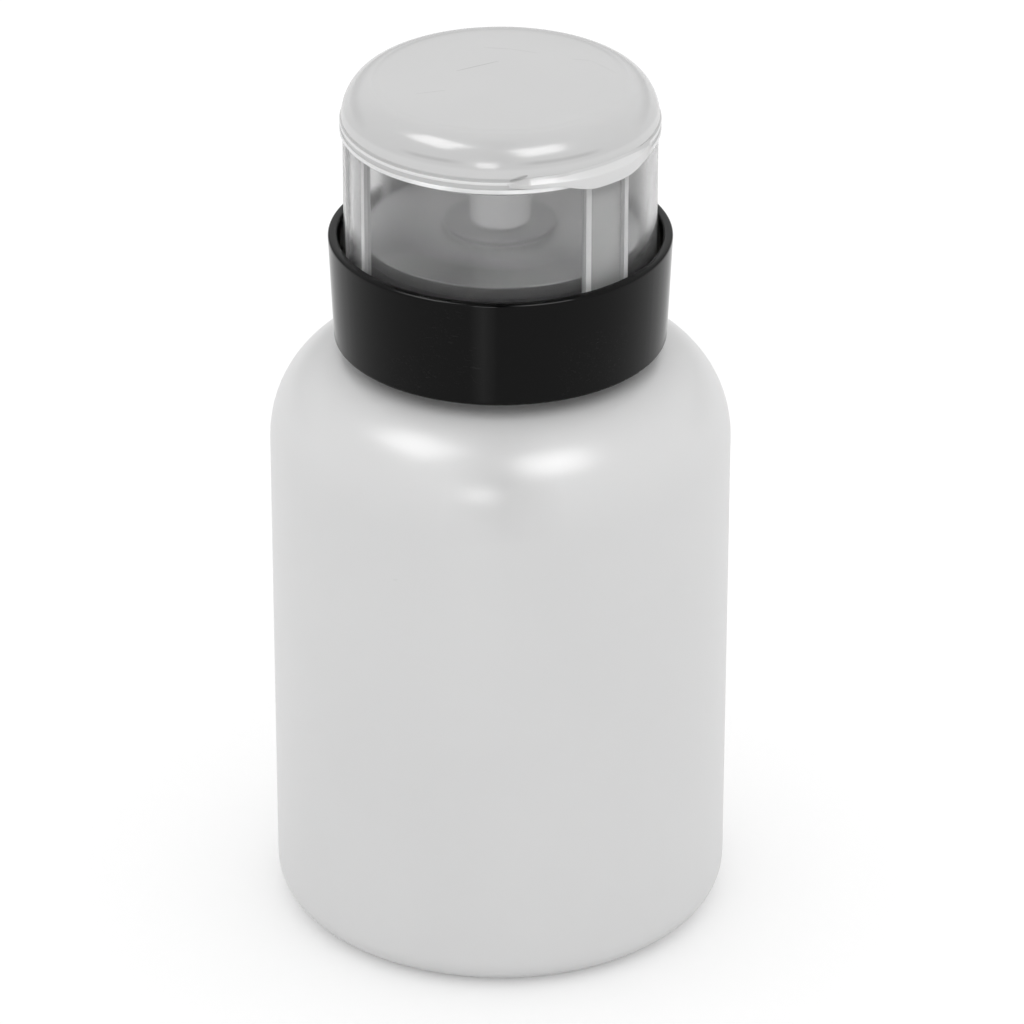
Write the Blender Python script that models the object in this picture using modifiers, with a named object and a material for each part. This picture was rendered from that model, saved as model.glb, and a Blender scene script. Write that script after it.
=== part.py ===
"""Pump dispenser bottle with a press dish inside a clear guard and a flip lid.

The bottle stands on the XY plane with its axis on Z, and its front faces -Y.
An azimuth is counted from the front towards +X. All lengths are in metres.
"""

import math

import bmesh
import bpy
from mathutils import Matrix, Vector

OBJECT_NAME = "dispenser_bottle"

# Fits shared by all pieces
TOUCH_GAP = 0.0003           # between two solids that touch on the real object
SLIDE_GAP = 0.0004           # beside a solid that slides
JOIN_DEPTH = 0.0002          # how far a joined detail dips into its wall
CUT_OVERRUN = 0.001          # how far a cutter runs past what it cuts

# Bottle
BOTTLE_RADIUS = 0.0320
BOTTLE_WALL = 0.0012
BASE_CORNER_RADIUS = 0.0048
FOOT_LAND_WIDTH = 0.0030
FOOT_SLOPE_WIDTH = 0.0018
PUSH_UP_HEIGHT = 0.0015
SIDE_HEIGHT = 0.0714
SHOULDER_RISE = 0.0138
SHOULDER_LAND = 0.00125      # flat ring between the shoulder and the neck's fillet
NECK_RADIUS = 0.0176
NECK_WALL = 0.0024
NECK_FILLET = 0.0008
NECK_EDGE = 0.0004

# Thread of the neck and the screw cap: one start, right-handed
THREAD_PITCH = 0.0030
THREAD_TURNS = 1.25
THREAD_DEPTH = 0.00105
THREAD_FOOT = 0.0021         # shoulder to the middle of the first turn
THREAD_LAND = 0.00145        # middle of the last turn to the mouth
THREAD_RUNOUT_TURNS = 0.1
THREAD_END_SHARE = 0.1       # of the ridge left at its ends
CAP_THREAD_START_TURN = 0.75

# Screw cap
SKIRT_WALL = 0.00135
SKIRT_LIFT = 0.0021          # above the shoulder
SKIRT_FOOT_HEIGHT = 0.0012
DECK_THICKNESS = 0.0014
DECK_HOLE_RADIUS = 0.0082

# Collar shell
COLLAR_TAPER = 0.00068       # lost from the rim to the lower edge
COLLAR_WALL = 0.00136
COLLAR_LIFT = 0.0018         # above the shoulder
COLLAR_RIM_HEIGHT = 0.0056   # above the deck
COLLAR_EDGE = 0.0004
GRIP_RIB_DEPTH = 0.00129     # from the skirt to the collar's lower edge
GRIP_RIB_COUNT = 12
GRIP_RIB_WIDTH = 0.0010

# Guard ring
GUARD_SIDE_GAP = 0.00084     # the dark gap inside the collar's rim
GUARD_WALL = 0.0013
GUARD_HEIGHT = 0.0209
GUARD_FOOT_HEIGHT = 0.0010
GUARD_RIB_DEPTH = 0.0004
GUARD_RIB_WIDTH = 0.0008
GUARD_RIB_INSET = 0.0006     # from the guard's two ends
GUARD_RIB_AZIMUTHS = (30.3, 47.7, 105.3, 122.7, 210.3, 227.7, 285.3, 302.7)

# Flip lid
LID_AZIMUTH = 26.0           # middle of the finger lip, the hinge lies opposite
LID_OVERSIZE = 0.0002        # beyond the guard
LID_WALL = 0.0012
LID_BEAD_PROUD = 0.0002
LID_BEAD_HEIGHT = 0.0011
LID_ROUND_RUN = 0.0044
LID_ROUND_RISE = 0.0055
LID_CROWN = 0.0004
PLUG_WALL = 0.0008
PLUG_DEPTH = 0.0014          # below the guard's rim
LIP_PROUD = 0.0007           # beyond the bead
LIP_HEIGHT = 0.0018
LIP_SWEEP = 40.0

# Hinge of the flip lid
HINGE_OFFSET = 0.0018        # axis beyond the guard's wall
KNUCKLE_RADIUS = 0.00115
KNUCKLE_WIDTH = 0.0064
EAR_THICKNESS = 0.0012
EAR_DROP = 0.0038            # reach of the ears down the guard
HINGE_PIN_RADIUS = 0.00055
HINGE_PIN_GAP = 0.00015
PAD_RISE = 0.0036            # hinge pad above the axis

# Neck gasket
GASKET_THICKNESS = 0.0008

# Pump housing
FLANGE_THICKNESS = 0.0012
BARREL_BORE_RADIUS = 0.0060
BARREL_WALL = 0.0012
BARREL_DEPTH = 0.0371        # flange top to barrel floor
SEAL_STEP = 0.0004           # wider bore above the seal
VALVE_CHAMBER_DEPTH = 0.0035
VALVE_CHAMBER_RADIUS = 0.0026
VALVE_THROAT_RADIUS = 0.0013
VALVE_THROAT_LENGTH = 0.0012
SOCKET_DEPTH = 0.0060
SOCKET_WALL = 0.0013

# Housing cap and stem seal
CAP_PLUG_DEPTH = 0.0040      # below the flange's top
SEAL_THICKNESS = 0.0009

# Pump stem
PRESS_TRAVEL = 0.0040
STEM_RADIUS = 0.0026
STEM_BORE_RADIUS = 0.0014
STEM_RING_RADIUS = 0.0036
STEM_RING_HEIGHT = 0.0011
STEM_FLANGE_RADIUS = 0.0046
STEM_FLANGE_HEIGHT = 0.0012
STEM_TAIL_LENGTH = 0.0020
STEM_TAIL_RADIUS = 0.0032
STEM_TIP_HEIGHT = 0.0028     # above the dish's hub
STEM_TIP_WALL = 0.0008
STEM_TIP_HOLE_RADIUS = 0.0009

# Piston
PISTON_HEIGHT = 0.0050
PISTON_HEADROOM = 0.0006
PISTON_WAIST = 0.0010

# Return spring and its seat
SPRING_RADIUS = 0.0044
SPRING_WIRE_RADIUS = 0.00045
SPRING_TURNS = 8
SPRING_END_TURNS = 0.75
SPRING_TURN_POINTS = 10
SPRING_SEAT_THICKNESS = 0.0012
SPRING_SEAT_TUBE_HEIGHT = 0.0020

# Check valve balls
BALL_SEAT_GAP = 0.0001
INLET_BALL_RADIUS = 0.0020
OUTLET_BALL_RADIUS = 0.0014

# Dip tube
DIP_TUBE_RADIUS = 0.0026
DIP_TUBE_WALL = 0.0009
DIP_TUBE_FLOOR_GAP = 0.0022

# Press dish
DISH_THICKNESS = 0.0012
DISH_SLOPE = 0.0002
DISH_STEP_HEIGHT = 0.0003
DISH_STEP_RADIUS = 0.0124
DISH_STEP_WIDTH = 0.0020
HUB_RADIUS = 0.0078
HUB_HEIGHT = 0.0014

# Nozzle
NOZZLE_RADIUS = 0.0043
NOZZLE_HEIGHT = 0.0080
NOZZLE_EDGE = 0.0005
NOZZLE_CHAMBER_GAP = 0.0005  # beside the outlet ball
OUTLET_BALL_LIFT = 0.0012
OUTLET_HOLE_RADIUS = 0.0007

# Fineness of round shapes
BOTTLE_SEGMENTS = 48
RING_SEGMENTS = 48
SMALL_SEGMENTS = 20
PIN_SEGMENTS = 14
ARC_STEPS = 6
MERGE_DISTANCE = 0.000005
SMOOTH_ANGLE = math.radians(35)

# Heights of the stack, from the floor up
SHOULDER_TOP = SIDE_HEIGHT + SHOULDER_RISE
NECK_HEIGHT = THREAD_FOOT + THREAD_TURNS * THREAD_PITCH + THREAD_LAND
MOUTH_Z = SHOULDER_TOP + NECK_HEIGHT
GASKET_Z = MOUTH_Z + TOUCH_GAP
FLANGE_Z = GASKET_Z + GASKET_THICKNESS + TOUCH_GAP
FLANGE_TOP = FLANGE_Z + FLANGE_THICKNESS
DECK_Z = FLANGE_TOP + TOUCH_GAP
DECK_TOP = DECK_Z + DECK_THICKNESS
DISH_Z = DECK_TOP + PRESS_TRAVEL + TOUCH_GAP
DISH_EDGE_Z = DISH_Z + DISH_THICKNESS
DISH_FLOOR_Z = DISH_EDGE_Z + DISH_SLOPE + DISH_STEP_HEIGHT
HUB_TOP = DISH_FLOOR_Z + HUB_HEIGHT
NOZZLE_Z = HUB_TOP + TOUCH_GAP
NOZZLE_TOP = NOZZLE_Z + NOZZLE_HEIGHT
COLLAR_Z = SHOULDER_TOP + COLLAR_LIFT
COLLAR_RIM_Z = DECK_TOP + COLLAR_RIM_HEIGHT
GUARD_Z = DECK_TOP + TOUCH_GAP
GUARD_TOP = GUARD_Z + GUARD_HEIGHT
LID_Z = GUARD_TOP + TOUCH_GAP
BEAD_TOP = LID_Z + LID_BEAD_HEIGHT

# Heights inside the pump, from the flange down
CAP_PLUG_Z = FLANGE_TOP - CAP_PLUG_DEPTH
SEAL_Z = CAP_PLUG_Z - TOUCH_GAP - SEAL_THICKNESS
SEAL_LEDGE_Z = SEAL_Z - TOUCH_GAP
PISTON_TOP = SEAL_LEDGE_Z - PISTON_HEADROOM
PISTON_Z = PISTON_TOP - PISTON_HEIGHT
STEM_FLANGE_TOP = PISTON_Z - TOUCH_GAP
STEM_FLANGE_Z = STEM_FLANGE_TOP - STEM_FLANGE_HEIGHT
BARREL_FLOOR_Z = FLANGE_TOP - BARREL_DEPTH
SPRING_SEAT_Z = BARREL_FLOOR_Z + TOUCH_GAP
SPRING_SEAT_TOP = SPRING_SEAT_Z + SPRING_SEAT_THICKNESS
VALVE_CONE_TOP = BARREL_FLOOR_Z - VALVE_CHAMBER_DEPTH
VALVE_CONE_Z = VALVE_CONE_TOP - (VALVE_CHAMBER_RADIUS - VALVE_THROAT_RADIUS)
SOCKET_TOP = VALVE_CONE_Z - VALVE_THROAT_LENGTH
SOCKET_Z = SOCKET_TOP - SOCKET_DEPTH
DIP_TUBE_TOP = SOCKET_TOP - TOUCH_GAP
STEM_RING_TOP = DISH_Z - TOUCH_GAP
STEM_RING_Z = STEM_RING_TOP - STEM_RING_HEIGHT
STEM_TIP_Z = HUB_TOP + STEM_TIP_HEIGHT

# Radii that follow from the neighbours
SHOULDER_RUN = BOTTLE_RADIUS - NECK_RADIUS - NECK_FILLET - SHOULDER_LAND
SKIRT_INNER_RADIUS = NECK_RADIUS + THREAD_DEPTH + TOUCH_GAP
SKIRT_RADIUS = SKIRT_INNER_RADIUS + SKIRT_WALL
COLLAR_RADIUS = SKIRT_RADIUS + GRIP_RIB_DEPTH + COLLAR_WALL + COLLAR_TAPER
GUARD_RADIUS = COLLAR_RADIUS - COLLAR_WALL - GUARD_SIDE_GAP
GUARD_INNER_RADIUS = GUARD_RADIUS - GUARD_WALL
GUARD_RIB_RADIUS = GUARD_INNER_RADIUS - GUARD_RIB_DEPTH
DISH_RADIUS = GUARD_RIB_RADIUS - SLIDE_GAP
LID_RADIUS = GUARD_RADIUS + LID_OVERSIZE
BEAD_RADIUS = LID_RADIUS + LID_BEAD_PROUD
PLUG_RADIUS = GUARD_RIB_RADIUS - TOUCH_GAP
PLUG_INNER_RADIUS = PLUG_RADIUS - PLUG_WALL
FLANGE_RADIUS = NECK_RADIUS - TOUCH_GAP
BARREL_RADIUS = BARREL_BORE_RADIUS + BARREL_WALL
SEAL_BORE_RADIUS = BARREL_BORE_RADIUS + SEAL_STEP
SOCKET_BORE_RADIUS = DIP_TUBE_RADIUS + TOUCH_GAP
SOCKET_RADIUS = SOCKET_BORE_RADIUS + SOCKET_WALL
STEM_GUIDE_RADIUS = STEM_RADIUS + SLIDE_GAP
THREAD_ROOT_WIDTH = THREAD_PITCH / 2 - TOUCH_GAP
THREAD_CREST_WIDTH = THREAD_ROOT_WIDTH / 2

# Place of the lid's hinge
HINGE_AZIMUTH = LID_AZIMUTH + 180.0
HINGE_RADIUS = GUARD_RADIUS + HINGE_OFFSET
HINGE_Z = GUARD_TOP

CUTTERS = "cutters"


def clear_scene():
    """Remove every object of the scene."""
    for old in list(bpy.data.objects):
        bpy.data.objects.remove(old, do_unlink=True)


def collection(name):
    """Return the collection of that name, made when it is first asked for."""
    found = bpy.data.collections.get(name)
    if found is None:
        found = bpy.data.collections.new(name)
        bpy.context.scene.collection.children.link(found)
    return found


def add_object(name, data, group=OBJECT_NAME):
    """Wrap mesh or curve data in a new object of a collection."""
    item = bpy.data.objects.new(name, data)
    collection(group).objects.link(item)
    if group == CUTTERS:
        item.hide_render = True
        item.display_type = "WIRE"
    return item


def material(name, color, roughness, metallic=0.0, alpha=1.0):
    """Make a material with a Principled BSDF."""
    made = bpy.data.materials.new(name)
    made.use_nodes = True
    shader = made.node_tree.nodes["Principled BSDF"]
    shader.inputs["Base Color"].default_value = (*color, 1.0)
    shader.inputs["Roughness"].default_value = roughness
    shader.inputs["Metallic"].default_value = metallic
    shader.inputs["Alpha"].default_value = alpha
    return made


def arc(center, radii, start, end, steps=ARC_STEPS):
    """Points of an elliptical arc as (radius, height) pairs, angles in degrees."""
    points = []
    for step in range(steps + 1):
        angle = math.radians(start + (end - start) * step / steps)
        points.append((center[0] + radii[0] * math.cos(angle), center[1] + radii[1] * math.sin(angle)))
    return points


def turned(name, profile, segments, group=OBJECT_NAME, closed=True):
    """Turn a profile round Z with a Screw modifier.

    The profile's outer side runs from top to bottom. A closed profile is a ring's
    section, and an open one starts and ends on the axis.
    """
    mesh = bpy.data.meshes.new(name)
    points = [(radius, 0.0, height) for radius, height in profile]
    edges = [(index, index + 1) for index in range(len(points) - 1)]
    if closed:
        edges.append((len(points) - 1, 0))
    mesh.from_pydata(points, edges, [])
    item = add_object(name, mesh, group)
    screw = item.modifiers.new("turn", "SCREW")
    screw.axis = "Z"
    screw.angle = math.tau
    screw.steps = segments
    screw.render_steps = segments
    screw.use_merge_vertices = True
    screw.merge_threshold = MERGE_DISTANCE
    return item


def mesh_from(item):
    """Copy the evaluated mesh of an object, with loose seams welded."""
    bpy.context.view_layer.update()
    evaluated = item.evaluated_get(bpy.context.evaluated_depsgraph_get())
    mesh = bpy.data.meshes.new_from_object(evaluated)
    shape = bmesh.new()
    shape.from_mesh(mesh)
    bmesh.ops.remove_doubles(shape, verts=shape.verts, dist=MERGE_DISTANCE)
    shape.to_mesh(mesh)
    shape.free()
    return mesh


def box(name, size, place):
    """Make a box cutter or detail of a size, placed by a matrix."""
    shape = bmesh.new()
    bmesh.ops.create_cube(shape, size=1.0)
    shape.transform(Matrix.Diagonal((*size, 1.0)))
    shape.transform(place)
    mesh = bpy.data.meshes.new(name)
    shape.to_mesh(mesh)
    shape.free()
    return add_object(name, mesh, CUTTERS)


def rod(name, radius, length, place, segments=PIN_SEGMENTS):
    """Make a cylinder along its own Z, centred, placed by a matrix."""
    shape = bmesh.new()
    bmesh.ops.create_cone(
        shape, cap_ends=True, segments=segments, radius1=radius, radius2=radius, depth=length
    )
    shape.transform(place)
    mesh = bpy.data.meshes.new(name)
    shape.to_mesh(mesh)
    shape.free()
    return add_object(name, mesh, CUTTERS)


def plate(name, outline, thickness, place):
    """Extrude a flat outline both ways from its own XY plane, as a closed mesh."""
    curve = bpy.data.curves.new(name, "CURVE")
    curve.dimensions = "2D"
    curve.fill_mode = "BOTH"
    curve.extrude = thickness / 2
    spline = curve.splines.new("POLY")
    spline.points.add(len(outline) - 1)
    for point, (across, up) in zip(spline.points, outline):
        point.co = (across, up, 0.0, 1.0)
    spline.use_cyclic_u = True
    drawn = add_object(name + "_outline", curve, CUTTERS)
    mesh = mesh_from(drawn)
    bpy.data.objects.remove(drawn)
    mesh.transform(place)
    return add_object(name, mesh, CUTTERS)


def combine(item, tool, operation):
    """Join a detail to an object, or cut it out, with an exact Boolean."""
    step = item.modifiers.new(tool.name, "BOOLEAN")
    step.operation = operation
    step.solver = "EXACT"
    step.object = tool


def finish(item, finish_material, origin=(0.0, 0.0, 0.0)):
    """Apply the modifiers, set the shading and put the object's origin on its joint."""
    mesh = mesh_from(item)
    item.modifiers.clear()
    old = item.data
    item.data = mesh
    bpy.data.meshes.remove(old)
    mesh.name = item.name
    mesh.transform(Matrix.Translation(-Vector(origin)))
    item.location = origin
    mesh.materials.clear()
    mesh.materials.append(finish_material)
    mesh.shade_smooth()
    mesh.set_sharp_from_angle(angle=SMOOTH_ANGLE)
    return item


def radial_frame(azimuth, radius=0.0, height=0.0):
    """Matrix whose X points outwards at an azimuth, Y along the ring and Z up."""
    turn = Matrix.Rotation(math.radians(azimuth - 90.0), 4, "Z")
    return turn @ Matrix.Translation((radius, 0.0, height))


def hinge_plane(along=0.0):
    """Matrix that stands an outline of (outwards, up) points in the hinge's plane."""
    stand = Matrix.Rotation(math.radians(90.0), 4, "X")
    return radial_frame(HINGE_AZIMUTH) @ Matrix.Translation((0.0, along, 0.0)) @ stand


def hinge_point():
    """Middle of the hinge's axis."""
    return radial_frame(HINGE_AZIMUTH, HINGE_RADIUS, HINGE_Z).translation


def thread_ridge(name, root_radius, crest_radius, start_turn=0.0, lift=0.0):
    """Loft a helical ridge whose two ends run out into its wall."""
    steps = int(RING_SEGMENTS * THREAD_TURNS)
    shape = bmesh.new()
    sections = []
    for step in range(steps + 1):
        turn = THREAD_TURNS * step / steps
        runout = min(turn, THREAD_TURNS - turn) / THREAD_RUNOUT_TURNS
        fullness = min(1.0, max(THREAD_END_SHARE, runout))
        crest = root_radius + (crest_radius - root_radius) * fullness
        angle = math.tau * (start_turn + turn)
        height = SHOULDER_TOP + THREAD_FOOT + lift + THREAD_PITCH * turn
        outline = (
            (root_radius, -THREAD_ROOT_WIDTH / 2),
            (crest, -THREAD_CREST_WIDTH / 2),
            (crest, THREAD_CREST_WIDTH / 2),
            (root_radius, THREAD_ROOT_WIDTH / 2),
        )
        sections.append([
            shape.verts.new((radius * math.cos(angle), radius * math.sin(angle), height + rise))
            for radius, rise in outline
        ])
    for lower, upper in zip(sections, sections[1:]):
        for corner in range(len(lower)):
            after = (corner + 1) % len(lower)
            shape.faces.new((lower[corner], lower[after], upper[after], upper[corner]))
    shape.faces.new(sections[0])
    shape.faces.new(sections[-1])
    bmesh.ops.recalc_face_normals(shape, faces=shape.faces)
    mesh = bpy.data.meshes.new(name)
    shape.to_mesh(mesh)
    shape.free()
    return add_object(name, mesh, CUTTERS)


def collar_inner_radius(height):
    """Inner radius of the tapered collar shell at a height."""
    share = (COLLAR_RIM_Z - height) / (COLLAR_RIM_Z - COLLAR_Z)
    return COLLAR_RADIUS - COLLAR_TAPER * share - COLLAR_WALL


def make_bottle():
    """Blow-moulded bottle with a pushed-up base, a round shoulder and a threaded neck."""
    bore = NECK_RADIUS - NECK_WALL
    shoulder_center = BOTTLE_RADIUS - SHOULDER_RUN
    inner_radius = BOTTLE_RADIUS - BOTTLE_WALL
    corner_center = BOTTLE_RADIUS - BASE_CORNER_RADIUS
    foot_inner = corner_center - FOOT_LAND_WIDTH
    push_up_radius = foot_inner - FOOT_SLOPE_WIDTH
    inner_corner = BASE_CORNER_RADIUS - BOTTLE_WALL
    profile = [(0.0, PUSH_UP_HEIGHT + BOTTLE_WALL), (push_up_radius, PUSH_UP_HEIGHT + BOTTLE_WALL)]
    profile += [(foot_inner, BOTTLE_WALL)]
    profile += arc((corner_center, BASE_CORNER_RADIUS), (inner_corner, inner_corner), -90, 0, 3)
    inner_run = SHOULDER_RUN - BOTTLE_WALL
    inner_rise = SHOULDER_RISE - BOTTLE_WALL
    profile += arc((shoulder_center, SIDE_HEIGHT), (inner_run, inner_rise), 0, 90, 6)
    profile += [(bore, SHOULDER_TOP - BOTTLE_WALL), (bore, MOUTH_Z)]
    profile += [(NECK_RADIUS - NECK_EDGE, MOUTH_Z), (NECK_RADIUS, MOUTH_Z - NECK_EDGE)]
    fillet_center = (NECK_RADIUS + NECK_FILLET, SHOULDER_TOP + NECK_FILLET)
    profile += arc(fillet_center, (NECK_FILLET, NECK_FILLET), 180, 270, 2)
    profile += arc((shoulder_center, SIDE_HEIGHT), (SHOULDER_RUN, SHOULDER_RISE), 90, 0, 10)
    corner = (BASE_CORNER_RADIUS, BASE_CORNER_RADIUS)
    profile += arc((corner_center, BASE_CORNER_RADIUS), corner, 0, -90, 4)
    profile += [(foot_inner, 0.0), (push_up_radius, PUSH_UP_HEIGHT), (0.0, PUSH_UP_HEIGHT)]
    item = turned("bottle", profile, BOTTLE_SEGMENTS, closed=False)
    ridge = thread_ridge("neck_thread", NECK_RADIUS - JOIN_DEPTH, NECK_RADIUS + THREAD_DEPTH)
    combine(item, ridge, "UNION")
    return finish(item, material("milky_polyethylene", (0.80, 0.81, 0.82), 0.35))


def make_screw_cap():
    """Inner threaded cap: a skirt with a foot, and the deck that clamps the pump.

    Its ridge runs half a pitch from the neck's, on the same helix.
    """
    bottom = SHOULDER_TOP + SKIRT_LIFT
    foot_radius = collar_inner_radius(COLLAR_Z) - TOUCH_GAP
    deck_radius = collar_inner_radius(DECK_Z) - TOUCH_GAP
    profile = [
        (DECK_HOLE_RADIUS, DECK_TOP),
        (deck_radius, DECK_TOP),
        (deck_radius, DECK_Z),
        (SKIRT_RADIUS, DECK_Z),
        (SKIRT_RADIUS, bottom + SKIRT_FOOT_HEIGHT),
        (foot_radius, bottom + SKIRT_FOOT_HEIGHT),
        (foot_radius, bottom),
        (SKIRT_INNER_RADIUS, bottom),
        (SKIRT_INNER_RADIUS, DECK_Z),
        (DECK_HOLE_RADIUS, DECK_Z),
    ]
    item = turned("screw_cap", profile, RING_SEGMENTS)
    root = SKIRT_INNER_RADIUS + JOIN_DEPTH
    crest = NECK_RADIUS + TOUCH_GAP
    lift = (CAP_THREAD_START_TURN - 0.5) * THREAD_PITCH
    combine(item, thread_ridge("cap_thread", root, crest, CAP_THREAD_START_TURN, lift), "UNION")
    return finish(item, material("black_polypropylene", (0.02, 0.02, 0.02), 0.45))


def make_collar_shell():
    """Glossy outer ring with inner ribs that grip the screw cap."""
    bottom_radius = COLLAR_RADIUS - COLLAR_TAPER
    inner_top = COLLAR_RADIUS - COLLAR_WALL
    inner_bottom = bottom_radius - COLLAR_WALL
    edge = (COLLAR_EDGE, COLLAR_EDGE)
    profile = arc((inner_top + COLLAR_EDGE, COLLAR_RIM_Z - COLLAR_EDGE), edge, 180, 90, 2)
    profile += arc((COLLAR_RADIUS - COLLAR_EDGE, COLLAR_RIM_Z - COLLAR_EDGE), edge, 90, 0, 3)
    profile += arc((bottom_radius - COLLAR_EDGE, COLLAR_Z + COLLAR_EDGE), edge, 0, -90, 3)
    profile += [(inner_bottom, COLLAR_Z)]
    item = turned("collar_shell", profile, BOTTLE_SEGMENTS)
    rib_bottom = SHOULDER_TOP + SKIRT_LIFT + SKIRT_FOOT_HEIGHT + TOUCH_GAP
    rib_top = DECK_Z - TOUCH_GAP
    rib_inner = SKIRT_RADIUS + TOUCH_GAP
    rib_outer = inner_bottom + COLLAR_WALL / 2
    size = (rib_outer - rib_inner, GRIP_RIB_WIDTH, rib_top - rib_bottom)
    for index in range(GRIP_RIB_COUNT):
        azimuth = 360.0 * index / GRIP_RIB_COUNT
        place = radial_frame(azimuth, (rib_inner + rib_outer) / 2, (rib_bottom + rib_top) / 2)
        combine(item, box(f"grip_rib_{index + 1}", size, place), "UNION")
    return finish(item, material("glossy_black", (0.012, 0.012, 0.013), 0.12))


def hinge_arc(start, end, radius=KNUCKLE_RADIUS):
    """Arc round the hinge's axis, as (outwards, up) points."""
    return arc((HINGE_RADIUS, HINGE_Z), (radius, radius), start, end)


def make_guard_ring():
    """Clear tube round the dish, with slim inner ribs and two hinge ears."""
    foot_radius = collar_inner_radius(GUARD_Z) - TOUCH_GAP
    profile = [
        (GUARD_INNER_RADIUS, GUARD_TOP),
        (GUARD_RADIUS, GUARD_TOP),
        (GUARD_RADIUS, GUARD_Z + GUARD_FOOT_HEIGHT),
        (foot_radius, GUARD_Z + GUARD_FOOT_HEIGHT / 2),
        (foot_radius, GUARD_Z),
        (GUARD_INNER_RADIUS, GUARD_Z),
    ]
    item = turned("guard_ring", profile, RING_SEGMENTS)
    rib_height = GUARD_HEIGHT - 2 * GUARD_RIB_INSET
    size = (GUARD_RIB_DEPTH + 2 * JOIN_DEPTH, GUARD_RIB_WIDTH, rib_height)
    for index, azimuth in enumerate(GUARD_RIB_AZIMUTHS):
        middle = GUARD_RIB_RADIUS + size[0] / 2
        place = radial_frame(azimuth, middle, GUARD_Z + GUARD_HEIGHT / 2)
        combine(item, box(f"guard_rib_{index + 1}", size, place), "UNION")
    add_ears(item)
    return finish(item, material("clear_styrene", (0.90, 0.91, 0.92), 0.08, alpha=0.35))


def add_ears(guard):
    """Join the two hinge ears to the guard and bore them for the lid's pins."""
    wall_middle = GUARD_RADIUS - GUARD_WALL / 2
    outline = [(wall_middle, HINGE_Z - EAR_THICKNESS / 2)]
    outline += [(HINGE_RADIUS - KNUCKLE_RADIUS, HINGE_Z - EAR_THICKNESS / 2)]
    outline += hinge_arc(180, -45)
    outline += [(wall_middle, HINGE_Z - EAR_DROP)]
    along = KNUCKLE_WIDTH / 2 + TOUCH_GAP + EAR_THICKNESS / 2
    for side, sign in (("left", -1), ("right", 1)):
        place = hinge_plane(sign * along)
        combine(guard, plate(f"ear_{side}", outline, EAR_THICKNESS, place), "UNION")
    length = 2 * (along + EAR_THICKNESS / 2 + CUT_OVERRUN)
    combine(guard, hinge_rod("ear_bore", HINGE_PIN_RADIUS + HINGE_PIN_GAP, length), "DIFFERENCE")


def hinge_rod(name, radius, length):
    """Cylinder along the hinge's axis."""
    lay = Matrix.Rotation(math.radians(90.0), 4, "X")
    return rod(name, radius, length, radial_frame(HINGE_AZIMUTH, HINGE_RADIUS, HINGE_Z) @ lay)


def make_flip_lid():
    """Domed lid with a sealing plug, a finger lip and the hinge knuckle."""
    round_center = (LID_RADIUS - LID_ROUND_RUN, BEAD_TOP)
    inner_radii = (LID_ROUND_RUN - LID_WALL, LID_ROUND_RISE - LID_WALL)
    crown_z = BEAD_TOP + LID_ROUND_RISE + LID_CROWN

    def inner_angle(radius):
        """Angle on the dome's inner round where it reaches a radius."""
        return math.degrees(math.acos((radius - round_center[0]) / inner_radii[0]))

    crown_radii = (round_center[0], LID_CROWN)
    profile = arc((0.0, crown_z - LID_CROWN), crown_radii, 90, 0, 3)[:-1]
    profile += arc(round_center, (LID_ROUND_RUN, LID_ROUND_RISE), 90, 0, 7)
    profile += [(BEAD_RADIUS, BEAD_TOP - LID_BEAD_PROUD), (BEAD_RADIUS, LID_Z)]
    profile += [(LID_RADIUS - LID_WALL, LID_Z)]
    profile += arc(round_center, inner_radii, 0, inner_angle(PLUG_RADIUS), 3)
    profile += [(PLUG_RADIUS, GUARD_TOP - PLUG_DEPTH), (PLUG_INNER_RADIUS, GUARD_TOP - PLUG_DEPTH)]
    profile += arc(round_center, inner_radii, inner_angle(PLUG_INNER_RADIUS), 90, 2)
    profile += arc((0.0, crown_z - LID_CROWN - LID_WALL), crown_radii, 0, 90, 3)[1:]
    item = turned("flip_lid", profile, RING_SEGMENTS, closed=False)
    combine(item, make_finger_lip(), "UNION")
    combine(item, make_knuckle(), "UNION")
    pin_length = KNUCKLE_WIDTH + 2 * (TOUCH_GAP + EAR_THICKNESS) - 2 * JOIN_DEPTH
    combine(item, hinge_rod("hinge_pins", HINGE_PIN_RADIUS, pin_length), "UNION")
    milky = material("milky_polypropylene", (0.84, 0.85, 0.86), 0.22, alpha=0.9)
    return finish(item, milky, hinge_point())


def make_finger_lip():
    """Sweep the finger lip's section a part of the way round the bead."""
    inner = LID_RADIUS - LID_WALL / 2
    outer = BEAD_RADIUS + LIP_PROUD
    outline = [
        (inner, LID_Z + LIP_HEIGHT),
        (BEAD_RADIUS, LID_Z + LIP_HEIGHT),
        (outer, LID_Z + LIP_HEIGHT / 2),
        (outer, LID_Z + LIP_PROUD),
        (BEAD_RADIUS, LID_Z + JOIN_DEPTH),
        (inner, LID_Z + JOIN_DEPTH),
    ]
    shape = bmesh.new()
    corners = [shape.verts.new((radius, 0.0, height)) for radius, height in outline]
    section = shape.faces.new(corners)
    bmesh.ops.rotate(
        shape,
        verts=shape.verts,
        cent=(0.0, 0.0, 0.0),
        matrix=Matrix.Rotation(math.radians(LID_AZIMUTH - 90.0 - LIP_SWEEP / 2), 3, "Z"),
    )
    bmesh.ops.spin(
        shape,
        geom=[section],
        cent=(0.0, 0.0, 0.0),
        axis=(0.0, 0.0, 1.0),
        angle=math.radians(LIP_SWEEP),
        steps=ARC_STEPS,
    )
    bmesh.ops.recalc_face_normals(shape, faces=shape.faces)
    mesh = bpy.data.meshes.new("finger_lip")
    shape.to_mesh(mesh)
    shape.free()
    return add_object("finger_lip", mesh, CUTTERS)


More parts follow.
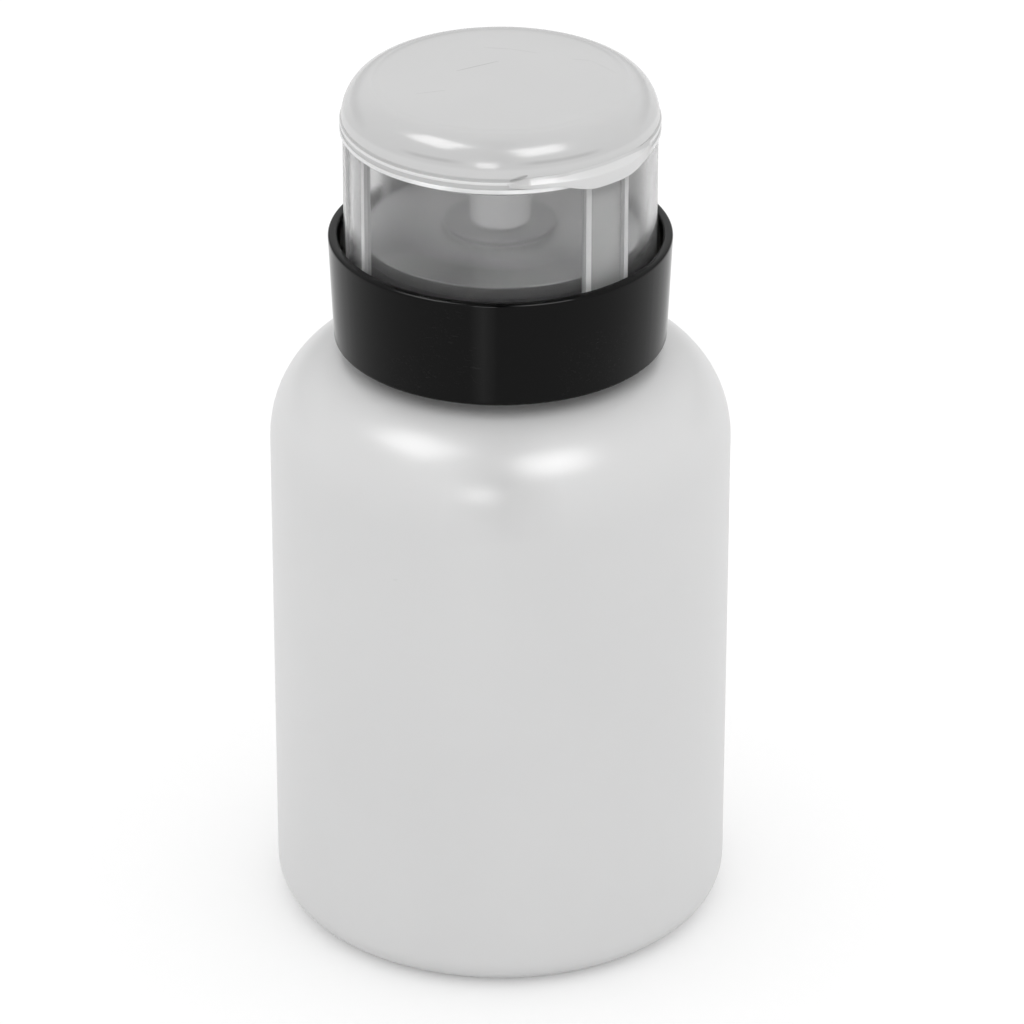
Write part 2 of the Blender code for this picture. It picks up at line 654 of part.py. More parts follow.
def make_knuckle():
    """Knuckle and hinge pad of the lid, between the guard's ears."""
    wall_middle = LID_RADIUS - LID_WALL / 2
    outline = [(wall_middle, LID_Z + JOIN_DEPTH)]
    outline += hinge_arc(165, 405)
    outline += [(BEAD_RADIUS + JOIN_DEPTH, HINGE_Z + PAD_RISE)]
    outline += [(wall_middle, HINGE_Z + PAD_RISE + JOIN_DEPTH)]
    return plate("knuckle", outline, KNUCKLE_WIDTH, hinge_plane())


def make_neck_gasket():
    """Flat ring between the mouth and the pump's flange."""
    inner = NECK_RADIUS - NECK_WALL
    profile = ring_section(inner, FLANGE_RADIUS, GASKET_Z, GASKET_Z + GASKET_THICKNESS)
    item = turned("neck_gasket", profile, RING_SEGMENTS)
    return finish(item, material("soft_gasket", (0.75, 0.75, 0.74), 0.7))


def ring_section(inner, outer, bottom, top):
    """Rectangular section of a ring, outer side from top to bottom."""
    return [(inner, top), (outer, top), (outer, bottom), (inner, bottom)]


def make_pump_housing():
    """Barrel with its flange, the inlet valve's seat and the dip tube's socket."""
    outer_floor = BARREL_FLOOR_Z - BARREL_WALL
    neck_z = outer_floor - (BARREL_RADIUS - SOCKET_RADIUS)
    profile = [
        (SEAL_BORE_RADIUS, FLANGE_TOP),
        (FLANGE_RADIUS, FLANGE_TOP),
        (FLANGE_RADIUS, FLANGE_Z),
        (BARREL_RADIUS + SEAL_STEP, FLANGE_Z),
        (BARREL_RADIUS + SEAL_STEP, SEAL_LEDGE_Z - BARREL_WALL),
        (BARREL_RADIUS, SEAL_LEDGE_Z - BARREL_WALL - SEAL_STEP),
        (BARREL_RADIUS, outer_floor),
        (SOCKET_RADIUS, neck_z),
        (SOCKET_RADIUS, SOCKET_Z),
        (SOCKET_BORE_RADIUS, SOCKET_Z),
        (SOCKET_BORE_RADIUS, SOCKET_TOP),
        (VALVE_THROAT_RADIUS, SOCKET_TOP),
        (VALVE_THROAT_RADIUS, VALVE_CONE_Z),
        (VALVE_CHAMBER_RADIUS, VALVE_CONE_TOP),
        (VALVE_CHAMBER_RADIUS, BARREL_FLOOR_Z),
        (BARREL_BORE_RADIUS, BARREL_FLOOR_Z),
        (BARREL_BORE_RADIUS, SEAL_LEDGE_Z),
        (SEAL_BORE_RADIUS, SEAL_LEDGE_Z),
    ]
    item = turned("pump_housing", profile, SMALL_SEGMENTS)
    return finish(item, material("natural_polypropylene", (0.78, 0.79, 0.80), 0.4))


def make_housing_cap():
    """Guide ring that closes the barrel and stops the stem's ring at full press."""
    plug_radius = SEAL_BORE_RADIUS - TOUCH_GAP
    recess_radius = STEM_RING_RADIUS + SLIDE_GAP
    recess_z = STEM_RING_Z - PRESS_TRAVEL - SLIDE_GAP
    profile = [
        (recess_radius, DECK_TOP),
        (DECK_HOLE_RADIUS - TOUCH_GAP, DECK_TOP),
        (DECK_HOLE_RADIUS - TOUCH_GAP, DECK_Z),
        (plug_radius, DECK_Z),
        (plug_radius, CAP_PLUG_Z),
        (STEM_GUIDE_RADIUS, CAP_PLUG_Z),
        (STEM_GUIDE_RADIUS, recess_z),
        (recess_radius, recess_z),
    ]
    item = turned("housing_cap", profile, SMALL_SEGMENTS)
    return finish(item, material("grey_acetal", (0.30, 0.30, 0.31), 0.4))


def make_stem_seal():
    """Ring seal on the barrel's ledge, round the stem."""
    outer = SEAL_BORE_RADIUS - TOUCH_GAP
    profile = ring_section(STEM_RADIUS + TOUCH_GAP, outer, SEAL_Z, SEAL_Z + SEAL_THICKNESS)
    item = turned("stem_seal", profile, SMALL_SEGMENTS)
    return finish(item, material("seal_rubber", (0.06, 0.06, 0.06), 0.6))


def make_pump_stem():
    """Hollow stem with the ring under the dish, the piston's flange and the valve tip."""
    tail_z = STEM_FLANGE_Z - STEM_TAIL_LENGTH
    profile = [
        (STEM_TIP_HOLE_RADIUS, STEM_TIP_Z),
        (STEM_RADIUS, STEM_TIP_Z),
        (STEM_RADIUS, STEM_RING_TOP),
        (STEM_RING_RADIUS, STEM_RING_TOP),
        (STEM_RING_RADIUS, STEM_RING_Z),
        (STEM_RADIUS, STEM_RING_Z),
        (STEM_RADIUS, STEM_FLANGE_TOP),
        (STEM_FLANGE_RADIUS, STEM_FLANGE_TOP),
        (STEM_FLANGE_RADIUS, STEM_FLANGE_Z),
        (STEM_TAIL_RADIUS, STEM_FLANGE_Z),
        (STEM_TAIL_RADIUS, tail_z),
        (STEM_BORE_RADIUS, tail_z),
        (STEM_BORE_RADIUS, STEM_TIP_Z - STEM_TIP_WALL),
        (STEM_TIP_HOLE_RADIUS, STEM_TIP_Z - STEM_TIP_WALL),
    ]
    item = turned("pump_stem", profile, SMALL_SEGMENTS)
    return finish(item, material("white_acetal", (0.82, 0.82, 0.82), 0.35))


def make_piston():
    """Piston with two wiping lips, held between the stem's flange and the seal."""
    outer = BARREL_BORE_RADIUS - TOUCH_GAP
    waist = outer - PISTON_WAIST
    profile = [
        (STEM_RADIUS + TOUCH_GAP, PISTON_TOP),
        (outer, PISTON_TOP),
        (outer, PISTON_TOP - PISTON_WAIST),
        (waist, PISTON_TOP - 2 * PISTON_WAIST),
        (waist, PISTON_Z + 2 * PISTON_WAIST),
        (outer, PISTON_Z + PISTON_WAIST),
        (outer, PISTON_Z),
        (STEM_RADIUS + TOUCH_GAP, PISTON_Z),
    ]
    item = turned("piston", profile, SMALL_SEGMENTS)
    return finish(item, material("piston_polyethylene", (0.70, 0.72, 0.74), 0.4))


def make_return_spring():
    """Coil spring with closed ends, as one swept wire."""
    low = SPRING_SEAT_TOP + TOUCH_GAP + SPRING_WIRE_RADIUS
    high = STEM_FLANGE_Z - TOUCH_GAP - SPRING_WIRE_RADIUS
    closed_rise = 2 * SPRING_WIRE_RADIUS + TOUCH_GAP
    curve = bpy.data.curves.new("return_spring", "CURVE")
    curve.dimensions = "3D"
    curve.bevel_depth = SPRING_WIRE_RADIUS
    curve.bevel_resolution = 1
    curve.use_fill_caps = True
    spline = curve.splines.new("POLY")
    spline.points.add(SPRING_TURNS * SPRING_TURN_POINTS)
    for index, point in enumerate(spline.points):
        turn = index / SPRING_TURN_POINTS
        if turn < SPRING_END_TURNS:
            height = low + closed_rise * turn
        elif turn > SPRING_TURNS - SPRING_END_TURNS:
            height = high - closed_rise * (SPRING_TURNS - turn)
        else:
            share = (turn - SPRING_END_TURNS) / (SPRING_TURNS - 2 * SPRING_END_TURNS)
            inset = closed_rise * SPRING_END_TURNS
            height = low + inset + (high - low - 2 * inset) * share
        angle = math.tau * turn
        point.co = (SPRING_RADIUS * math.cos(angle), SPRING_RADIUS * math.sin(angle), height, 1.0)
    item = add_object("return_spring", curve)
    steel = material("spring_steel", (0.62, 0.62, 0.63), 0.25, metallic=1.0)
    mesh = mesh_from(item)
    bpy.data.objects.remove(item)
    return finish(add_object("return_spring", mesh), steel)


def make_spring_seat():
    """Ring under the spring, whose small hole also keeps the inlet ball below."""
    outer = BARREL_BORE_RADIUS - TOUCH_GAP
    tube_top = SPRING_SEAT_TOP + SPRING_SEAT_TUBE_HEIGHT
    profile = [
        (VALVE_THROAT_RADIUS, tube_top),
        (STEM_TAIL_RADIUS, tube_top),
        (STEM_TAIL_RADIUS, SPRING_SEAT_TOP),
        (outer, SPRING_SEAT_TOP),
        (outer, SPRING_SEAT_Z),
        (VALVE_THROAT_RADIUS, SPRING_SEAT_Z),
    ]
    item = turned("spring_seat", profile, SMALL_SEGMENTS)
    return finish(item, material("seat_acetal", (0.55, 0.56, 0.58), 0.4))


def make_ball(name, radius, height):
    """Valve ball with its origin at its centre."""
    shape = bmesh.new()
    bmesh.ops.create_uvsphere(shape, u_segments=PIN_SEGMENTS, v_segments=PIN_SEGMENTS // 2, radius=radius)
    shape.transform(Matrix.Translation((0.0, 0.0, height)))
    mesh = bpy.data.meshes.new(name)
    shape.to_mesh(mesh)
    shape.free()
    steel = material(name + "_steel", (0.66, 0.66, 0.67), 0.15, metallic=1.0)
    return finish(add_object(name, mesh), steel, (0.0, 0.0, height))


def make_balls():
    """Inlet ball on its cone in the housing, outlet ball on the stem's tip."""
    cone_apex = VALVE_CONE_Z - VALVE_THROAT_RADIUS
    inlet_height = cone_apex + math.sqrt(2) * INLET_BALL_RADIUS + BALL_SEAT_GAP
    inlet = make_ball("inlet_ball", INLET_BALL_RADIUS, inlet_height)
    outlet = make_ball("outlet_ball", OUTLET_BALL_RADIUS, outlet_ball_height())
    return inlet, outlet


def outlet_ball_height():
    """Centre of the outlet ball, which rests on the edge of the stem's tip hole."""
    rise = math.sqrt(OUTLET_BALL_RADIUS ** 2 - STEM_TIP_HOLE_RADIUS ** 2)
    return STEM_TIP_Z + rise + BALL_SEAT_GAP


def make_dip_tube():
    """Suction tube from the housing's socket to just above the bottle's floor."""
    bottom = PUSH_UP_HEIGHT + BOTTLE_WALL + DIP_TUBE_FLOOR_GAP
    inner = DIP_TUBE_RADIUS - DIP_TUBE_WALL
    profile = ring_section(inner, DIP_TUBE_RADIUS, bottom, DIP_TUBE_TOP)
    item = turned("dip_tube", profile, PIN_SEGMENTS)
    return finish(item, material("dip_tube_polyethylene", (0.80, 0.82, 0.83), 0.35, alpha=0.8))


def make_press_dish():
    """Shallow dish with a low step and the hub that holds the nozzle."""
    bore = STEM_RADIUS + TOUCH_GAP
    profile = [
        (bore, HUB_TOP),
        (HUB_RADIUS, HUB_TOP),
        (HUB_RADIUS, DISH_FLOOR_Z),
        (DISH_STEP_RADIUS - DISH_STEP_WIDTH, DISH_FLOOR_Z),
        (DISH_STEP_RADIUS, DISH_EDGE_Z + DISH_SLOPE),
        (DISH_RADIUS, DISH_EDGE_Z),
        (DISH_RADIUS, DISH_Z),
        (bore, DISH_Z),
    ]
    item = turned("press_dish", profile, RING_SEGMENTS)
    return finish(item, material("grey_polypropylene", (0.28, 0.28, 0.28), 0.35))


def make_nozzle():
    """Translucent outlet over the stem's tip, with the outlet ball's chamber."""
    socket_radius = STEM_RADIUS + TOUCH_GAP
    socket_top = STEM_TIP_Z + TOUCH_GAP
    chamber_radius = OUTLET_BALL_RADIUS + NOZZLE_CHAMBER_GAP
    chamber_top = outlet_ball_height() + OUTLET_BALL_RADIUS + OUTLET_BALL_LIFT + BALL_SEAT_GAP
    profile = [
        (OUTLET_HOLE_RADIUS, NOZZLE_TOP),
        (NOZZLE_RADIUS - NOZZLE_EDGE, NOZZLE_TOP),
        (NOZZLE_RADIUS, NOZZLE_TOP - NOZZLE_EDGE),
        (NOZZLE_RADIUS, NOZZLE_Z),
        (socket_radius, NOZZLE_Z),
        (socket_radius, socket_top),
        (chamber_radius, socket_top),
        (chamber_radius, chamber_top),
        (OUTLET_HOLE_RADIUS, chamber_top),
    ]
    item = turned("nozzle", profile, SMALL_SEGMENTS)
    return finish(item, material("translucent_nozzle", (0.60, 0.61, 0.62), 0.3, alpha=0.85))


def joint_empty(name, place, parent=None):
    """Empty that marks a joint's axis."""
    item = add_object(name, None)
    item.empty_display_size = KNUCKLE_WIDTH
    item.location = place
    if parent:
        item.parent = parent
    return item


def hang(empty, pieces):
    """Parent pieces to a joint's empty and keep their world places."""
    for piece in pieces:
        piece.parent = empty
        piece.location = piece.location - empty.location


def main():
    """Build every piece and hang the moving ones on their joints."""
    clear_scene()
    make_bottle()
    pump_axis = joint_empty("pump_axis", (0.0, 0.0, 0.0))
    collar_axis = joint_empty("collar_axis", (0.0, 0.0, 0.0), pump_axis)
    press_axis = joint_empty("press_axis", (0.0, 0.0, 0.0), pump_axis)
    fixed_pump = [
        make_neck_gasket(),
        make_pump_housing(),
        make_housing_cap(),
        make_stem_seal(),
        make_spring_seat(),
        make_dip_tube(),
    ]
    inlet_ball, outlet_ball = make_balls()
    hang(pump_axis, fixed_pump + [inlet_ball])
    hang(collar_axis, [make_screw_cap(), make_collar_shell(), make_guard_ring(), make_flip_lid()])
    plunger = [make_pump_stem(), make_piston(), make_return_spring(), make_press_dish(), make_nozzle()]
    hang(press_axis, plunger + [outlet_ball])


if __name__ == "__main__":
    main()
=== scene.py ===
"""Looks of a pump dispenser bottle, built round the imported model.

The bottle stands on the XY plane with its axis on Z and its front towards -Y. An
azimuth is counted in degrees from the front towards +X. All lengths are in metres.
"""

import logging
import math
from collections.abc import Callable, Iterable, Sequence
from dataclasses import asdict, dataclass, field
from enum import Enum

import bmesh
import bpy
from mathutils import Matrix, Vector


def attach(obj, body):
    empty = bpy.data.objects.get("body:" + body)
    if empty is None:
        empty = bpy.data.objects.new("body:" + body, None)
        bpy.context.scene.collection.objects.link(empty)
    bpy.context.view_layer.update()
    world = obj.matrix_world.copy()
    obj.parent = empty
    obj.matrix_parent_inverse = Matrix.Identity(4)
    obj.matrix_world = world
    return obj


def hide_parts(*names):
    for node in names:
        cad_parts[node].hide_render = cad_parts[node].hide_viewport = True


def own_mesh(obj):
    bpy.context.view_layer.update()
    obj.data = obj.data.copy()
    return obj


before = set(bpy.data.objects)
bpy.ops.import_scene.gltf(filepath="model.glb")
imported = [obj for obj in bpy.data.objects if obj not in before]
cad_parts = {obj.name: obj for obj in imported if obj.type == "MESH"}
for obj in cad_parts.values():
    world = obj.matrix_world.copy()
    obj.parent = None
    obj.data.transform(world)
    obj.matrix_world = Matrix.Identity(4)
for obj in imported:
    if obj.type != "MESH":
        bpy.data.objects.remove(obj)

LOG = logging.getLogger("dispenser_bottle")

Item = bpy.types.Object
Shape = bmesh.types.BMesh
Node = bpy.types.Node
Socket = bpy.types.NodeSocket
Point = tuple[float, float]
Corner = tuple[float, float, float]
Grey = tuple[float, float, float]
Swell = Callable[[float, float, float], float]

FULL_TURN = 360.0
HALF_TURN = 180.0
SIDE = 90.0  # azimuth of the bottle's right side
WELD = 0.000001  # points nearer than this are one point
HOLD = 0.00012  # how near a support point lies to a rounding
ROOM = 3 * HOLD  # length beside a rounding from which it gets a support point
NEAREST = 0.45  # least angle between an even azimuth and a wanted one
SHARP_ANGLE = math.radians(38)
STRAIGHT = math.radians(175)  # two edges that meet at more than this are one line
BAR_TAPER = 0.82  # width of a bar's inner side against its outer one
MIX_FIRST, MIX_SECOND, MIX_RESULT = 6, 7, 2  # numbers of a Mix node's colour sockets
HAIR_LEAN = (0.3, 0.2)  # turns of the hairlines about X and Y, in radians
HAIR_SETS = ((0.6, 60.0), (-0.9, 80.0))  # turn about Z and stretch of each set
LINE_TAPER = 0.4  # the lower, the blunter are a line's ends, for scratches and painted shade lines alike


# Profiles and meshes


def rounded(corners: Sequence[Corner], closed: bool = True, steps: int = 5, hold: bool = True) -> list[Point]:
    """Round the corners of a profile.

    Args:
        corners: (radius, height, rounding) of each corner, in order.
        closed: whether the last corner joins the first.
        steps: number of parts in each rounding.
        hold: whether a support point lies beside each rounding where there is room.

    Returns:
        The profile's points as (radius, height).
    """
    points: list[Point] = []
    last = len(corners) - 1
    for index, (radius, height, rounding) in enumerate(corners):
        here = Vector((radius, height))
        if rounding <= 0 or (not closed and index in (0, last)):
            points.append((radius, height))
            continue
        before = Vector(corners[index - 1][:2]) - here
        after = Vector(corners[(index + 1) % len(corners)][:2]) - here
        half = before.angle(after) / 2
        reach = rounding / math.tan(half)
        start, end = before.normalized(), after.normalized()
        centre = here + (start + end).normalized() * rounding / math.sin(half)
        spoke, far = here + start * reach - centre, here + end * reach - centre
        if hold and before.length > reach + ROOM:
            points.append(tuple(here + start * reach + start * HOLD))
        sweep = spoke.angle(far)
        for step in range(steps + 1):
            share = step / steps
            near_part = math.sin((1 - share) * sweep) / math.sin(sweep)
            far_part = math.sin(share * sweep) / math.sin(sweep)
            points.append(tuple(centre + spoke * near_part + far * far_part))
        if hold and after.length > reach + ROOM:
            points.append(tuple(here + end * reach + end * HOLD))
    return points


def arc(centre: Point, radii: Point | float, start: float, end: float, steps: int) -> list[Point]:
    """Give the points of an arc.

    Args:
        centre: (radius, height) of the middle.
        radii: half width and half height, or one radius.
        start: first angle in degrees, 0 pointing outwards and 90 up.
        end: last angle in degrees.
        steps: number of parts.

    Returns:
        The points as (radius, height), both ends included.
    """
    wide, high = radii if isinstance(radii, tuple) else (radii, radii)
    angles = [math.radians(start + (end - start) * step / steps) for step in range(steps + 1)]
    return [(centre[0] + wide * math.cos(angle), centre[1] + high * math.sin(angle)) for angle in angles]


def run(start: Point, end: Point, steps: int) -> list[Point]:
    """Give evenly spaced points between two, the ends left out.

    Args:
        start: (radius, height) before the first point.
        end: (radius, height) after the last point.
        steps: number of parts.

    Returns:
        The points between.
    """
    shares = [step / steps for step in range(1, steps)]
    return [tuple(low + (high - low) * share for low, high in zip(start, end)) for share in shares]


def azimuths(count: int, extra: Iterable[float] = ()) -> list[float]:
    """Give evenly spread azimuths with extra ones sorted in.

    Args:
        count: number of even ones.
        extra: azimuths of details that need a line of points.

    Returns:
        The azimuths from 0 to below 360. An even one that lies too near an extra one is left out.
    """
    wanted = sorted(angle % FULL_TURN for angle in extra)
    for index in range(count):
        even = FULL_TURN * index / count
        if all(NEAREST < abs(even - angle) < FULL_TURN - NEAREST for angle in wanted):
            wanted.append(even)
    return sorted(set(round(angle, 4) for angle in wanted))


def at(azimuth: float, radius: float, height: float) -> Vector:
    """Return the point at an azimuth, a distance from the axis and a height."""
    angle = math.radians(azimuth)
    return Vector((radius * math.sin(angle), -radius * math.cos(angle), height))


def radial_frame(azimuth: float, radius: float = 0.0, height: float = 0.0) -> Matrix:
    """Return a matrix whose X points outwards at an azimuth, Y along the ring, Z up."""
    turn = Matrix.Rotation(math.radians(azimuth - SIDE), 4, "Z")
    return turn @ Matrix.Translation((radius, 0.0, height))


def turned(
    name: str,
    profile: Sequence[Point],
    angles: Sequence[float],
    closed: bool = True,
    swell: Swell | None = None,
) -> Item:
    """Turn a profile round the axis into a closed mesh.

    Args:
        name: name of the new object.
        profile: (radius, height) points; an open one starts and ends on the axis.
        angles: azimuths of the lines of points.
        closed: whether the last point joins the first.
        swell: gives what is added to the radius at an azimuth, radius and height.

    Returns:
        The new object.
    """
    shape = bmesh.new()
    poles = {
        index: shape.verts.new((0.0, 0.0, height))
        for index, (radius, height) in enumerate(profile)
        if radius < WELD
    }
    lines = []
    for azimuth in angles:
        line = []
        for index, (radius, height) in enumerate(profile):
            if index in poles:
                line.append(poles[index])
                continue
            more = swell(azimuth, radius, height) if swell else 0.0
            line.append(shape.verts.new(at(azimuth, radius + more, height)))
        lines.append(line)
    last = len(profile) if closed else len(profile) - 1
    for line, following in zip(lines, lines[1:] + lines[:1]):
        for index in range(last):
            after = (index + 1) % len(profile)
            ring = [line[index], following[index], following[after], line[after]]
            shape.faces.new(list(dict.fromkeys(ring)))
    return from_bmesh(name, shape)


def swept(name: str, loops: Iterable[Sequence[Vector]]) -> Item:
    """Join a row of loops into a closed mesh.

    Args:
        name: name of the new object.
        loops: points of each loop, which all have the same number.

    Returns:
        The new object.
    """
    shape = bmesh.new()
    rows = [[shape.verts.new(point) for point in loop] for loop in loops]
    for row, following in zip(rows, rows[1:]):
        for index, vertex in enumerate(row):
            after = (index + 1) % len(row)
            shape.faces.new((vertex, following[index], following[after], row[after]))
    for end in (0, -1):
        shape.faces.new(rows[end])
    return from_bmesh(name, shape)


def from_bmesh(name: str, shape: Shape) -> Item:
    """Turn a bmesh into an object with outward normals and smooth faces.

    Args:
        name: name of the new object and mesh.
        shape: the bmesh, which is freed.

    Returns:
        The new object, linked to the scene.
    """
    bmesh.ops.recalc_face_normals(shape, faces=shape.faces)
    mesh = bpy.data.meshes.new(name)
    shape.to_mesh(mesh)
    shape.free()
    item = bpy.data.objects.new(name, mesh)
    bpy.context.scene.collection.objects.link(item)
    smooth(item)
    return item


def smooth(item: Item) -> None:
    """Shade an object smooth, apart from its sharp edges."""
    item.data.shade_smooth()
    item.data.set_sharp_from_angle(angle=SHARP_ANGLE)


def slab(name: str, outline: Sequence[Point], thickness: float, place: Matrix, edge: float) -> Item:
    """Make a plate from a flat outline, with rounded edges.

    Args:
        name: name of the new object.
        outline: (x, y) points in the plate's own plane, in order.
        thickness: thickness, half on each side of the plane.
        place: matrix that puts the plate in its place.
        edge: rounding of the edges.

    Returns:
        The new object.
    """
    shape = bmesh.new()
    face = shape.faces.new([shape.verts.new((x, y, -thickness / 2)) for x, y in outline])
    grown = bmesh.ops.extrude_face_region(shape, geom=[face])
    moved = [part for part in grown["geom"] if isinstance(part, bmesh.types.BMVert)]
    bmesh.ops.translate(shape, verts=moved, vec=(0.0, 0.0, thickness))
    rims = [line for line in shape.edges if abs(line.verts[0].co.z - line.verts[1].co.z) < WELD]
    bmesh.ops.bevel(shape, geom=rims, offset=edge, segments=3, profile=0.5, affect="EDGES")
    shape.transform(place)
    return from_bmesh(name, shape)


def add_bar(shape: Shape, sector: Point, radii: Point, heights: Point, steps: int) -> None:
    """Add an upright bar that follows the ring, a little narrower on its inner side.

    Args:
        shape: the bmesh that it is added to.
        sector: middle azimuth and half width in degrees.
        radii: inner and outer radius.
        heights: lowest and highest height.
        steps: number of parts along the ring.
    """
    middle, half = sector
    rows = []
    for height in heights:
        for radius, reach in ((radii[0], half * BAR_TAPER), (radii[1], half)):
            row = [middle - reach + 2 * reach * step / steps for step in range(steps + 1)]
            rows.append([shape.verts.new(at(azimuth, radius, height)) for azimuth in row])
    around = [rows[0], rows[1], rows[3], rows[2]]
    for first, second in zip(around, around[1:] + around[:1]):
        for index in range(steps):
            shape.faces.new((first[index], first[index + 1], second[index + 1], second[index]))
    for end in (0, -1):
        shape.faces.new([row[end] for row in around])


class Join(Enum):
    """How a tool changes an object."""

    ADD = "UNION"
    CUT = "DIFFERENCE"


def is_spare(vertex: bmesh.types.BMVert) -> bool:
    """Tell whether a point only splits a nearly straight edge between two faces.

    Args:
        vertex: the point.

    Returns:
        True if the mesh keeps its shape without it.
    """
    if len(vertex.link_edges) != 2:
        return False
    first, second = (edge.other_vert(vertex).co - vertex.co for edge in vertex.link_edges)
    return first.angle(second) > STRAIGHT


def combined(item: Item, tool: Item, how: Join) -> Item:
    """Join a tool to an object or cut it out, and remove the tool.

    Args:
        item: the object that changes.
        tool: the closed mesh that is joined or cut out.
        how: whether it is joined or cut out.

    Returns:
        The changed object.
    """
    step = item.modifiers.new("combine", "BOOLEAN")
    step.operation = how.value
    step.solver = "EXACT"
    step.object = tool
    bpy.context.view_layer.update()
    done = bpy.data.meshes.new_from_object(item.evaluated_get(bpy.context.evaluated_depsgraph_get()))
    item.modifiers.clear()
    clean = bmesh.new()
    clean.from_mesh(done)
    bmesh.ops.remove_doubles(clean, verts=clean.verts, dist=WELD)
    bmesh.ops.dissolve_degenerate(clean, dist=WELD, edges=clean.edges)
    bmesh.ops.dissolve_verts(clean, verts=[vertex for vertex in clean.verts if is_spare(vertex)])
    clean.to_mesh(done)
    clean.free()
    done.name = item.name
    item.data = done
    bpy.data.objects.remove(tool)
    smooth(item)
    return item


def ramp(value: float, low: float, high: float) -> float:
    """Return 0 below low, 1 above high, and a smooth step between."""
    share = min(1.0, max(0.0, (value - low) / (high - low)))
    return share * share * (3 - 2 * share)


def bump_at(value: float, middle: float, half_width: float, flank: float) -> float:
    """Return 1 round a middle value and 0 beyond it, with smooth flanks."""
    return 1.0 - ramp(abs(value - middle), half_width - flank, half_width)


# Node groups that more than one finish uses


class Group(Enum):
    """Shared node groups."""

    SKIN = "moulded_skin"
    TURNING = "turning_lines"
    HAIRLINES = "hairline_scratches"
    DUST = "settled_dust"
    SCORE = "score_mark"
    PATCH = "surface_patch"


class Tree:
    """Short hand for building a node tree."""

    def __init__(self, tree: bpy.types.NodeTree) -> None:
        """Keep the tree that nodes are added to."""
        self.tree = tree

    def node(self, kind: str, **settings: object) -> Node:
        """Add a node.

        Args:
            kind: its kind, without the words that every shader node's kind starts with.
            settings: properties by name.

        Returns:
            The new node.
        """
        made = self.tree.nodes.new("ShaderNode" + kind)
        for name, value in settings.items():
            setattr(made, name, value)
        return made

    def feed(self, socket: Socket, value: object) -> None:
        """Link a socket to another, or write a plain value on it.

        Args:
            socket: the input.
            value: another node's output or a plain value.
        """
        if isinstance(value, bpy.types.NodeSocket):
            self.tree.links.new(value, socket)
        else:
            socket.default_value = value

    def filled(self, made: Node, values: dict[int | str, object], out: int | str = 0) -> Socket:
        """Fill a node's inputs.

        Args:
            made: the node.
            values: value or socket by the input's number or name.
            out: number or name of the result that is wanted.

        Returns:
            The node's result.
        """
        for key, value in values.items():
            self.feed(made.inputs[key], value)
        return made.outputs[out]

    def math(self, operation: str, *values: object, clamp: bool = False) -> Socket:
        """Add a Math node and return its result."""
        made = self.node("Math", operation=operation, use_clamp=clamp)
        return self.filled(made, dict(enumerate(values)))

    def times(self, first: object, second: object) -> Socket:
        """Return the product of two values."""
        return self.math("MULTIPLY", first, second)

    def left(self, value: object) -> Socket:
        """Return what is left of 1 after a value."""
        return self.math("SUBTRACT", 1.0, value)

    def vector(self, operation: str, *values: object, out: str = "Vector") -> Socket:
        """Add a Vector Math node and return one of its results."""
        made = self.node("VectorMath", operation=operation)
        return self.filled(made, dict(enumerate(values)), out)

    def along(self, vector: object, line: object) -> Socket:
        """Return how far a vector reaches along a line."""
        return self.vector("DOT_PRODUCT", vector, line, out="Value")

    def radius(self, place: object) -> Socket:
        """Return a place's distance from the axis."""
        return self.vector("LENGTH", self.vector("MULTIPLY", place, (1.0, 1.0, 0.0)), out="Value")

    def noise(self, vector: object, scale: object, detail: float = 2.0, distortion: float = 0.0) -> Socket:
        """Add a noise texture and return its value."""
        values = {"Vector": vector, "Scale": scale, "Detail": detail, "Distortion": distortion}
        return self.filled(self.node("TexNoise"), values, "Fac")

    def between(self, value: object, low: float, high: float) -> Socket:
        """Map a value from a range to 0 to 1, with a smooth step."""
        values = {"Value": value, "From Min": low, "From Max": high}
        return self.filled(self.node("MapRange", interpolation_type="SMOOTHSTEP"), values, "Result")

    def blend(self, share: object, first: object, second: object) -> Socket:
        """Mix two colours by a share and return the colour."""
        values = {"Factor": share, MIX_FIRST: first, MIX_SECOND: second}
        return self.filled(self.node("Mix", data_type="RGBA"), values, MIX_RESULT)

    def parts(self, vector: object) -> Sequence[Socket]:
        """Return the three parts of a vector."""
        return self.filled(self.node("SeparateXYZ"), {0: vector}).node.outputs

    def group(self, which: Group, **values: object) -> dict[str, Socket]:
        """Place a shared group, its inputs named with _ for a space, and return its results."""
        inputs = {name.replace("_", " "): value for name, value in values.items()}
        return self.filled(self.node("Group", node_tree=shared_group(which)), inputs).node.outputs


def new_group(which: Group, outputs: Sequence[str], **inputs: float | None) -> tuple[Tree, dict, dict]:
    """Start a node group with named sockets, the first of which is the place on the piece.

    Args:
        which: the group that is made.
        outputs: names of the results, which are all values.
        inputs: default by name, with _ for a space; None makes a vector.

    Returns:
        The tree, its input sockets by name and its output sockets by name.
    """
    made = bpy.data.node_groups.new(which.value, "ShaderNodeTree")
    made.interface.new_socket("Vector", in_out="INPUT", socket_type="NodeSocketVector")
    for name, value in inputs.items():
        kind = "NodeSocketVector" if value is None else "NodeSocketFloat"
        socket = made.interface.new_socket(name.replace("_", " "), in_out="INPUT", socket_type=kind)
        if value is not None:
            socket.default_value = value
    for name in outputs:
        made.interface.new_socket(name, in_out="OUTPUT", socket_type="NodeSocketFloat")
    entry = made.nodes.new("NodeGroupInput")
    leave = made.nodes.new("NodeGroupOutput")
    return Tree(made), dict(entry.outputs.items()), dict(leave.inputs.items())


